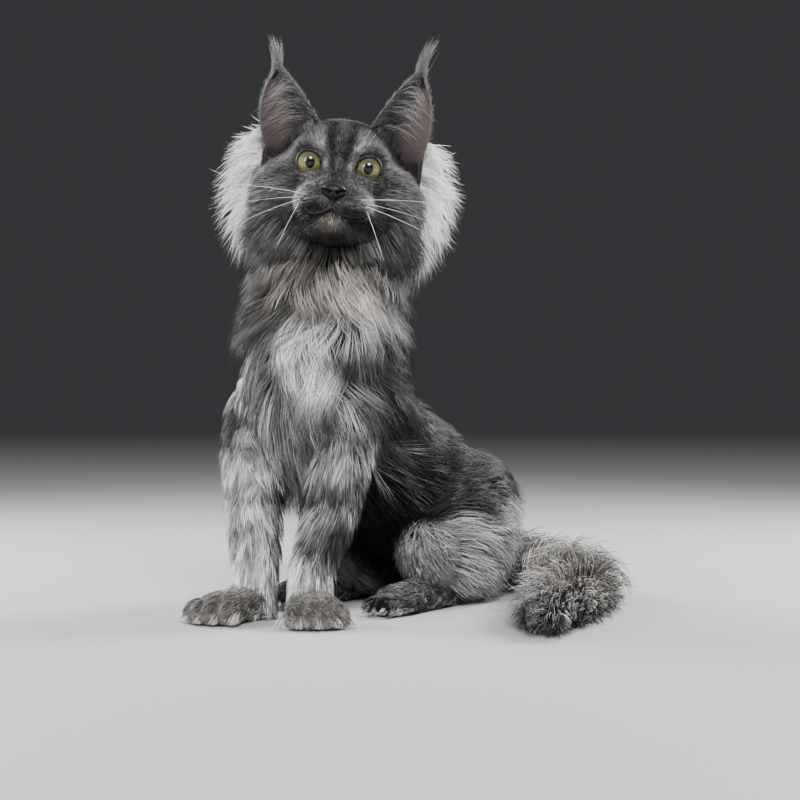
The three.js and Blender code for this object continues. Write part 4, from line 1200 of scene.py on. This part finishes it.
def ruff_hairs(side, count, seed, whiteness_and_painted_light):
    """Hairs on a fan about the head's centre: the angle runs from root to tip by u^1.4, the radius by u.

    Hairs of a lock end at nearly the angle and depth of its leading hair, each at its own length.
    """
    draw = np.random.default_rng(seed)
    leads = count // 15
    share = draw.uniform(0, 1, count + leads)
    layer = draw.uniform(0.2, 1.5, count + leads) + 1.3 * (1 - smooth(share, 0.05, 0.4))
    start = np.radians(between(RUFF_ROOT, share))
    end = np.radians(between(RUFF_TIP, share) + 9 * draw.normal(size=len(share)))
    reach = between(RUFF_REACH, share) * draw.uniform(0.5, 1.07, len(share))
    root = on_head(normalized(np.stack([side * np.cos(start), layer * 0.25, np.sin(start)], -1)))
    away = root[:, 1] + 8 + 8 * draw.normal(size=len(share))
    lead = count + nearest_lead(root[:count], root[count:])
    end[:count] += (end[lead] - end[:count]) * 0.72
    away[:count] += (away[lead] - away[:count]) * 0.6
    root, share, start, end, reach, away = (a[:count] for a in (root, share, start, end, reach, away))
    inner = np.hypot(root[:, 0], root[:, 2] - HEAD_CENTRE[2])
    # Beside the ear's opening the hairs start further out, so that none stands in it.
    beside_ear = (56 + 11 * smooth(start, -0.16, -0.04)) / np.cos(start)
    inner = np.where(start > -0.16, np.maximum(inner, beside_ear), inner)
    reach = np.maximum(reach, inner + 6)
    u = np.linspace(0, 1, 5)
    angle = start[:, None] + (end - start)[:, None] * u**1.4
    radius = inner[:, None] - 3 + (reach - inner + 3)[:, None] * u
    y = root[:, 1:2] + (away - root[:, 1])[:, None] * u**0.8
    paths = np.stack([side * np.cos(angle) * radius, y, HEAD_CENTRE[2] + np.sin(angle) * radius], -1)
    lock_shade = 1 - 0.5 * draw.uniform(size=leads)[lead - count] ** 3
    level = whiteness_and_painted_light * lock_shade * (1 + 0.08 * draw.normal(size=count))
    # Painted shade: each ruff hair's root at 0.74 of its grey, darker deep in the fan.
    first, last = grey(level * 0.74, 0.01), grey(np.clip(level, 0, 252), 0.0)
    outs = normalized(np.stack([np.full(count, side * 0.35), np.full(count, -1.0), np.zeros(count)], -1))
    where = np.stack([share, (layer[:count] - 0.2) / 2.6], 1)
    return paths, 0.5 * draw.uniform(0.6, 1.2, count), outs, first, last, where


for side_name, side_sign in SIDES.items():
    # The cat's left ruff gets 255 against 250: painted light on the side that is lit brighter.
    add_coat(f"coat_ruff_{side_name}", "coat_silver", ruff_hairs(
        side_sign, 2000, 210 + side_sign, 255 if side_sign > 0 else 250,
    ), in_head=True)


# Ears: tall cupped shells of thin pinkish skin on gristle, open to the front and grown to the head by
# their foot, which is sunk in it. Long pale hairs sweep over the opening, short ones clothe the rims and
# the back, and a lynx-like tuft stands on each tip.
EAR_INNER, EAR_OUTER = np.array([20.0, -3, 38]), np.array([61.0, 6, 17])
EAR_TIPS = {"left": np.array([54.0, 3, 90]), "right": np.array([58.0, 3, 81])}
EAR_CUP, EAR_THICK, EAR_SUNK = 26.0, 2.2, 0.22
INNER_BOW, OUTER_BOW = (-1.5, -6, 1.5), (9, -4, 0)


def ear_edge(base, name, bulge, share):
    """A point on an edge: base to tip by share, bowed out by 4 share (1 - share)."""
    share = np.asarray(share, float)[..., None]
    return base + (EAR_TIPS[name] - base) * share + np.array(bulge) * 4 * np.maximum(share, 0) * (1 - share)


def ear_point(name, share, across, lift=0.0):
    """A point of the shell: across from the inner to the outer edge, sunk back by the cup."""
    share, across = np.asarray(share, float), np.asarray(across, float)
    a = ear_edge(EAR_INNER, name, INNER_BOW, share)
    p = a + (ear_edge(EAR_OUTER, name, OUTER_BOW, share) - a) * across[..., None]
    cup = np.sin(np.pi * np.clip(across, 0, 1)) ** 0.8 * (1 - np.clip(share, 0, 1)) ** 0.7
    p[..., 1] += (EAR_CUP + lift) * cup + lift
    return p * (SIDES[name], 1, 1)


def ear_shell(name):
    """Two sheets of the same grid, EAR_THICK apart, joined round the rim."""
    rows, columns = 56, 40
    share = np.linspace(-EAR_SUNK, 0.985, rows)[:, None] + np.zeros((1, columns))
    across = np.linspace(0, 1, columns)[None] + np.zeros((rows, 1))
    front, rear = ear_point(name, share, across), ear_point(name, share, across, EAR_THICK)
    count = rows * columns
    sheet = grid_faces(rows, columns, wrap=False)
    rim = np.concatenate([
        np.arange(columns), np.arange(1, rows) * columns + columns - 1,
        (rows - 1) * columns + np.arange(columns - 2, -1, -1), np.arange(rows - 2, 0, -1) * columns,
    ])
    after = np.roll(rim, -1)
    sides = np.stack([rim + count, after + count, after, rim], 1)
    pink = 60 + 10 * smooth(share, 0.1, 0.6) - 30 * (1 - smooth(across, 0.0, 0.2))
    # Painted shade: the pink darkens down at the ear's foot, where the cup meets the head.
    pink -= 24 * (1 - smooth(share, -0.1, 0.1))
    inside = grey(pink.ravel()) * (1.25, 0.9, 0.93)
    outside = grey(np.full(count, 46.0), 0.03)
    points = np.vstack([front.reshape(-1, 3), rear.reshape(-1, 3)])
    faces = np.vstack([sheet, sheet[:, ::-1] + count, sides])
    colours = np.vstack([inside, outside])
    piece = add_mesh(f"ear_{name}_shell", points, [faces], SKIN, colours, in_head=True)
    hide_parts(f"ear_{name}")


def ear_part(draw, paths, width, level, tip_level, where, outs=None):
    """One kind of hair for add_coat, from its greys at root and tip, each hair with a shade of its own."""
    count = len(paths)
    own = draw.uniform(0.8, 1.15, count)
    outs = np.tile([0, -1.0, 0], (count, 1)) if outs is None else outs
    first, last = (grey(np.clip(shade * own, 0, 250), 0.01) for shade in (level, tip_level))
    return paths, width * draw.uniform(0.7, 1.2, count), outs, first, last, where


def straight(start, way, reach, steps):
    """Hairs from their starts along their ways, each as long as its reach."""
    return start[:, None] + way[:, None] * (reach[:, None] * np.linspace(0, 1, steps))[..., None]


def ear_up(name, share, across, start, lift=0.0):
    """The way up the shell from a start, towards the point 0.05 further to the tip."""
    return normalized(ear_point(name, share + 0.05, across, lift) - start)


def over_hairs(name, draw, count=95):
    """Long hairs over the opening: start + (end - start) reach u, bowed forward and up by half sines."""
    mirror = np.array([SIDES[name], 1, 1])
    u = np.linspace(0, 1, 6)
    share = draw.uniform(0.0, 1.0, count) ** 0.7 * 0.62 + 0.04 * draw.normal(size=count)
    depth = draw.uniform(0.0, 0.3, count)
    end = ear_edge(EAR_OUTER, name, OUTER_BOW, share + draw.uniform(0.04, 0.2, count)) * mirror
    start = ear_point(name, share, depth)
    reach = draw.uniform(0.5, 1.0, count) ** 0.8
    reach = (reach + 0.3 * (draw.uniform(size=count) < 0.12))[:, None] * u
    paths = start[:, None] + (end - start)[:, None] * reach[..., None]
    paths[..., 1] -= draw.uniform(1, 8, count)[:, None] * np.sin(np.pi * np.clip(reach, 0, 1) ** 0.7)
    paths[..., 2] += draw.uniform(2, 9, count)[:, None] * np.sin(np.pi * u * 0.9) - 7 * (u**3)
    return ear_part(draw, paths, 0.24, 74, 136, np.stack([0.1 + share, 0.1 + 0.2 * depth], 1))


def band_hairs(name, draw, count=1700):
    """A dense band along the inner side of the opening, each hair leaning up and outwards."""
    share = draw.uniform(-0.08, 0.97, count)
    across = draw.uniform(0, 1, count) ** 1.6 * (0.32 + 0.55 * smooth(share, 0.45, 0.95))
    start = ear_point(name, share, across, -0.3)
    way = ear_up(name, share, across, start) + (0.55 * SIDES[name], -0.2, 0)
    way = normalized(way + 0.18 * draw.normal(size=(count, 3)))
    paths = straight(start, way, draw.uniform(5, 11, count), 3)
    return ear_part(draw, paths, 0.45, 44, 80, np.stack([share, 0.35 + 0.1 * across], 1))


def fringe_hairs(name, draw, count=750):
    """A fringe on both edges, each hair leaning up and away from the opening."""
    share = draw.uniform(-0.05, 0.99, count)
    outer = draw.uniform(size=count) < 0.5
    across = np.where(outer, draw.uniform(0.96, 1.0, count), draw.uniform(0.0, 0.05, count))
    start = ear_point(name, share, across, EAR_THICK * 0.5)
    outward = np.where(outer, 0.7, -0.5)[:, None] * (SIDES[name], 0, 0)
    way = ear_up(name, share, across, start) + outward * draw.uniform(0.0, 0.6, count)[:, None]
    way = normalized(way + 0.12 * draw.normal(size=(count, 3)))
    paths = straight(start, way, draw.uniform(4, 9, count), 4)
    return ear_part(draw, paths, 0.32, 46, 86, np.stack([share, 0.4 + 0.1 * across], 1))


def back_hairs(name, draw, count=2000):
    """Short hairs on the back, lying upwards and rising a little from the shell."""
    share, across = draw.uniform(-EAR_SUNK, 0.97, count), draw.uniform(0.02, 0.99, count)
    start = ear_point(name, share, across, EAR_THICK)
    upward = ear_up(name, share, across, start, EAR_THICK)
    behind = np.array([0, 1.0, 0]) + np.array([0.6 * SIDES[name], 0, 0]) * (across[:, None] - 0.5)
    paths = straight(start, upward, draw.uniform(5, 9, count), 3)
    paths += behind[:, None] * (1.3 * np.linspace(-0.2, 1, 3))[None, :, None]
    return ear_part(draw, paths, 0.85, 50, 66, np.stack([share, 0.6 + 0.3 * across], 1), normalized(behind))


def tuft_hairs(name, draw, count=120):
    """The tuft on the tip: start + (top - start) reach u, bowed inwards by a half sine."""
    mirror = np.array([SIDES[name], 1, 1])
    spread = np.clip(draw.normal(size=(count, 2)), -2.2, 2.2)
    tip = EAR_TIPS[name] * mirror
    start = tip + np.c_[spread[:, 0] * 2.4, spread[:, 1] * 0.8 + 1, -np.abs(spread[:, 0]) * 5 - 4]
    top = tip + mirror * (10, -1, 27) + draw.normal(size=(count, 3)) * (3.2, 1.5, 2)
    top[:, 0] += spread[:, 0] * 1.2
    reach = draw.uniform(0.35, 1.0, count)[:, None] * np.linspace(0, 1, 5)
    paths = start[:, None] + (top - start)[:, None] * reach[..., None]
    paths[..., 0] -= mirror[0] * 2.5 * np.sin(np.pi * reach)
    return ear_part(draw, paths, 0.3, 36, 88, spread * 0.01 + (0.5, 0.97))


EAR_HAIRS = (over_hairs, band_hairs, fringe_hairs, back_hairs, tuft_hairs)
for side_name, side_sign in SIDES.items():
    ear_shell(side_name)
    ear_draw = np.random.default_rng(230 + side_sign)
    over, band, fringe, back, tuft = (kind(side_name, ear_draw) for kind in EAR_HAIRS)
    for label, kinds in {"back": (band, back), "edge": (fringe,), "tip": (tuft,), "inside": (over,)}.items():
        add_coat(f"coat_ear_{side_name}_{label}", "ear_skin", *kinds, in_head=True)


# Whiskers: stiff white bristles, deeply rooted in the pads beside the nose, and a few over each eye.
# Each has the place of its root, x and z, and its direction, length and half thickness.
WHISKERS = (
    (21, -29, (1, -0.15, 0.04), 84, 0.17), (25, -33, (0.9, -0.1, -0.4), 60, 0.15),
    (26, -36, (0.35, -0.25, -0.9), 44, 0.14), (23, -31, (1, -0.1, -0.2), 66, 0.11),
    (17, 16, (0.3, -0.6, 1.0), 20, 0.05), (20, 17, (0.6, -0.6, 0.9), 16, 0.05),
)


def whiskers():
    """Thin tapering tubes that bend down and back with the square of the length run."""
    draw = np.random.default_rng(240)
    u = np.linspace(0, 1, 14)
    hairs = []
    for side in (1, -1):
        for x, z, way, reach, thick in WHISKERS:
            way = normalized(np.array(way) * (side, 1, 1) + 0.08 * draw.normal(size=3))
            path = face_point(side * x, z) + way * (reach * draw.uniform(0.85, 1.1) * u)[:, None]
            path += reach * (u**2)[:, None] * (0, 0.16, -0.08)
            hairs.append(tube(path, 0.5 * thick * (1 - u) ** 0.6 + 0.02, sides=5))
    points, faces = joined(hairs)
    add_mesh("whiskers", points, faces, HAIR, grey(np.full(len(points), 235.0)), in_head=True)


whiskers()


# Coat of the feet and knees: short dense mottled hair on the paws, lying forward, with pale tufts that
# stand out between the toes, and longer hair over each bent knee. It grows from the skin like the rest.
def egg_hairs(middle, halves, turn, count, draw, flow, others, length=9.0, width=0.6, marks=paw_marks):
    """Hairs over an egg, each in the direction of the flow where it touches the surface."""
    unit = normalized(draw.normal(size=(count, 3)))
    root = (unit * halves) @ spin(turn).T + middle
    normal = normalized((unit / halves) @ spin(turn).T)
    way = np.array(flow) + 0.25 * draw.normal(size=(count, 3))
    way = normalized(way - normal * (way * normal).sum(1, keepdims=True))
    reach = length * draw.uniform(0.6, 1.2, count)
    u = np.linspace(0, 1, 3)
    paths = root[:, None] + way[:, None] * (reach[:, None] * u)[..., None]
    bow = (reach[:, None] * u) ** 2 / (2 * np.min(halves) * 1.4)
    paths += normal[:, None] * (-0.4 + 0.25 * length * u - bow * 0.6)[..., None]
    keep = root[:, 2] > 1.0
    for other_middle, other_halves, other_turn in others:
        rel = (root - other_middle) @ spin(other_turn)
        keep &= np.linalg.norm(rel / other_halves, axis=1) > 0.97
    level, warm = marks(root, None)
    first, last = hair_colours(level, marks(paths[:, -1], None)[0], warm, draw, 0 * level)
    widths = width * draw.uniform(0.7, 1.2, count)
    where = np.stack([np.arctan2(unit[:, 1], unit[:, 0]) / 6.3 + 0.5, np.arccos(unit[:, 2]) / 3.2], 1)
    return [a[keep] for a in (paths, widths, normal, first, last, where)]


def toe_tufts(start, heading, places, draw, each=70):
    """Pale hairs that stand out ahead between the toes and curl down to the floor."""
    side = np.repeat([p[0] for p in places], each) + 1.6 * draw.normal(size=len(places) * each)
    reach = np.repeat([p[1] for p in places], each) - draw.uniform(2, 9, len(side))
    out = draw.uniform(9, 17, len(side))
    u = np.linspace(0, 1, 4)
    height = draw.uniform(3, 11, len(side))
    forward, across = ahead((0, 0), heading, 1, 0, 0.0), ahead((0, 0), heading, 0, 1, 0.0)
    paths = ahead(start, heading, 0, 0, 0) + forward * (reach[:, None] + out[:, None] * u)[..., None]
    paths = paths + across * (side[:, None] * (1 + 0.3 * u))[..., None]
    paths[..., 2] = height[:, None] * (1 - 0.75 * u**1.5) + 0.8
    level = 170 * draw.uniform(0.7, 1.2, len(side))
    first, last = grey(level * 0.7, 0.03), grey(np.clip(level * 1.1, 0, 245), 0.02)
    outs = np.tile([0, 0, 1.0], (len(side), 1))
    where = np.stack([side / 80 + 0.5, reach / 200], 1)
    return paths, 0.8 * draw.uniform(0.6, 1.2, len(side)), outs, first, last, where


KNEE = {"forward": 97.0, "out": 47.0, "height": 51.0, "halves": (23.0, 20.0, 31.0)}
KNEE_FLOW = (-0.7, 0, -0.7)
FORE_TUFTS = [(-22, 44), (-11.5, 51), (0, 54), (11.5, 51), (22, 44)]
HIND_TUFTS = [(-8, 162), (0, 166), (8, 162)]

for side_name, (wrist, heading) in WRISTS.items():
    side_sign = SIDES[side_name]
    paw_draw = np.random.default_rng(250 + side_sign)
    eggs = paw_eggs(wrist, heading)
    flow = ahead((0, 0), heading, 1, 0, -0.5)
    paw_parts = []
    for k, each in enumerate(eggs):
        others = [other for other in eggs if other is not each]
        paw_parts.append(egg_hairs(*each, 1800 if k < 2 else 900, paw_draw, flow, others))
    paw_parts.append(toe_tufts(wrist, heading, FORE_TUFTS, paw_draw))
    add_coat(f"coat_forepaw_{side_name}", "coat_paw", *paw_parts)
    knee = ahead(RUMP, TRUNK_TURN, KNEE["forward"], side_sign * KNEE["out"], KNEE["height"])
    add_coat(f"coat_knee_{side_name}", "coat_smoke", egg_hairs(
        knee, np.array(KNEE["halves"]), TRUNK_TURN, 3500, paw_draw, ahead((0, 0), TRUNK_TURN, *KNEE_FLOW),
        [], length=26, width=0.65, marks=haunch_marks,
    ))
    toe = ahead(RUMP, TRUNK_TURN, 0, side_sign * HINDFOOT_ROWS[0][1], 0)
    add_coat(f"coat_hindfoot_{side_name}", "coat_paw", limb_hairs(
        HINDFEET[side_name], 2600, 260, hindfoot_marks, steps=3, places=(0, 1.1), length=9, rise=2.5,
        width=0.9,
    ), toe_tufts(toe, TRUNK_TURN, HIND_TUFTS, paw_draw))


# Studio: a plain pale floor for the cat to sit on, soft light from the front and both sides, and a camera
# at the photo's viewing angle, level, at the height of the chest, about 1.5 m before the cat.
FLOOR_HALF, FLOOR_COLOUR = 9.0, (0.23, 0.23, 0.235, 1)
floor_corners = [(x * FLOOR_HALF, y * FLOOR_HALF, 0) for x, y in ((-1, -1), (1, -1), (1, 1), (-1, 1))]
floor_mesh = bpy.data.meshes.new("floor")
floor_mesh.from_pydata(floor_corners, [], [(0, 1, 2, 3)])
floor = bpy.data.objects.new("floor", floor_mesh)
bpy.context.scene.collection.objects.link(floor)
floor_material = bpy.data.materials.new("floor")
floor_material.use_nodes = True
floor_surface = floor_material.node_tree.nodes["Principled BSDF"]
floor_surface.inputs["Base Color"].default_value = FLOOR_COLOUR
floor_surface.inputs["Roughness"].default_value = 0.8
floor_mesh.materials.append(floor_material)


def area_light(name, place, target, size, power):
    """A square soft light at a place, in metres, that faces the target."""
    data = bpy.data.lights.new(name, "AREA")
    data.size, data.energy = size, power
    light = bpy.data.objects.new(name, data)
    light.location = place
    way = np.array(target) - np.array(place)
    flat = math.hypot(way[0], way[1])
    light.rotation_euler = (math.atan2(flat, -way[2]), 0, math.atan2(way[1], way[0]) - math.pi / 2)
    bpy.context.scene.collection.objects.link(light)


area_light("key", (0.6, -3.8, 3.0), (0, 0, 0.25), 1.6, 650)
area_light("fill", (-3.2, -3.0, 1.7), (0, 0, 0.25), 2.4, 250)
area_light("rim_left", (-1.2, 0.7, 0.9), (0, 0, 0.3), 0.6, 70)
area_light("rim_right", (1.2, 0.7, 1.0), (0, 0, 0.3), 0.6, 90)
world = bpy.data.worlds.new("studio")
world.use_nodes = True
world.node_tree.nodes["Background"].inputs["Color"].default_value = (0.09, 0.092, 0.1, 1)
world.node_tree.nodes["Background"].inputs["Strength"].default_value = 0.45
bpy.context.scene.world = world

camera_data = bpy.data.cameras.new("camera")
camera_data.sensor_width = 36.0
camera_data.lens = 84.96
camera = bpy.data.objects.new("camera", camera_data)
camera.location = to_frame(CAMERA_AT)
camera.rotation_euler = (math.pi / 2, 0, 0)
bpy.context.scene.collection.objects.link(camera)
bpy.context.scene.camera = camera
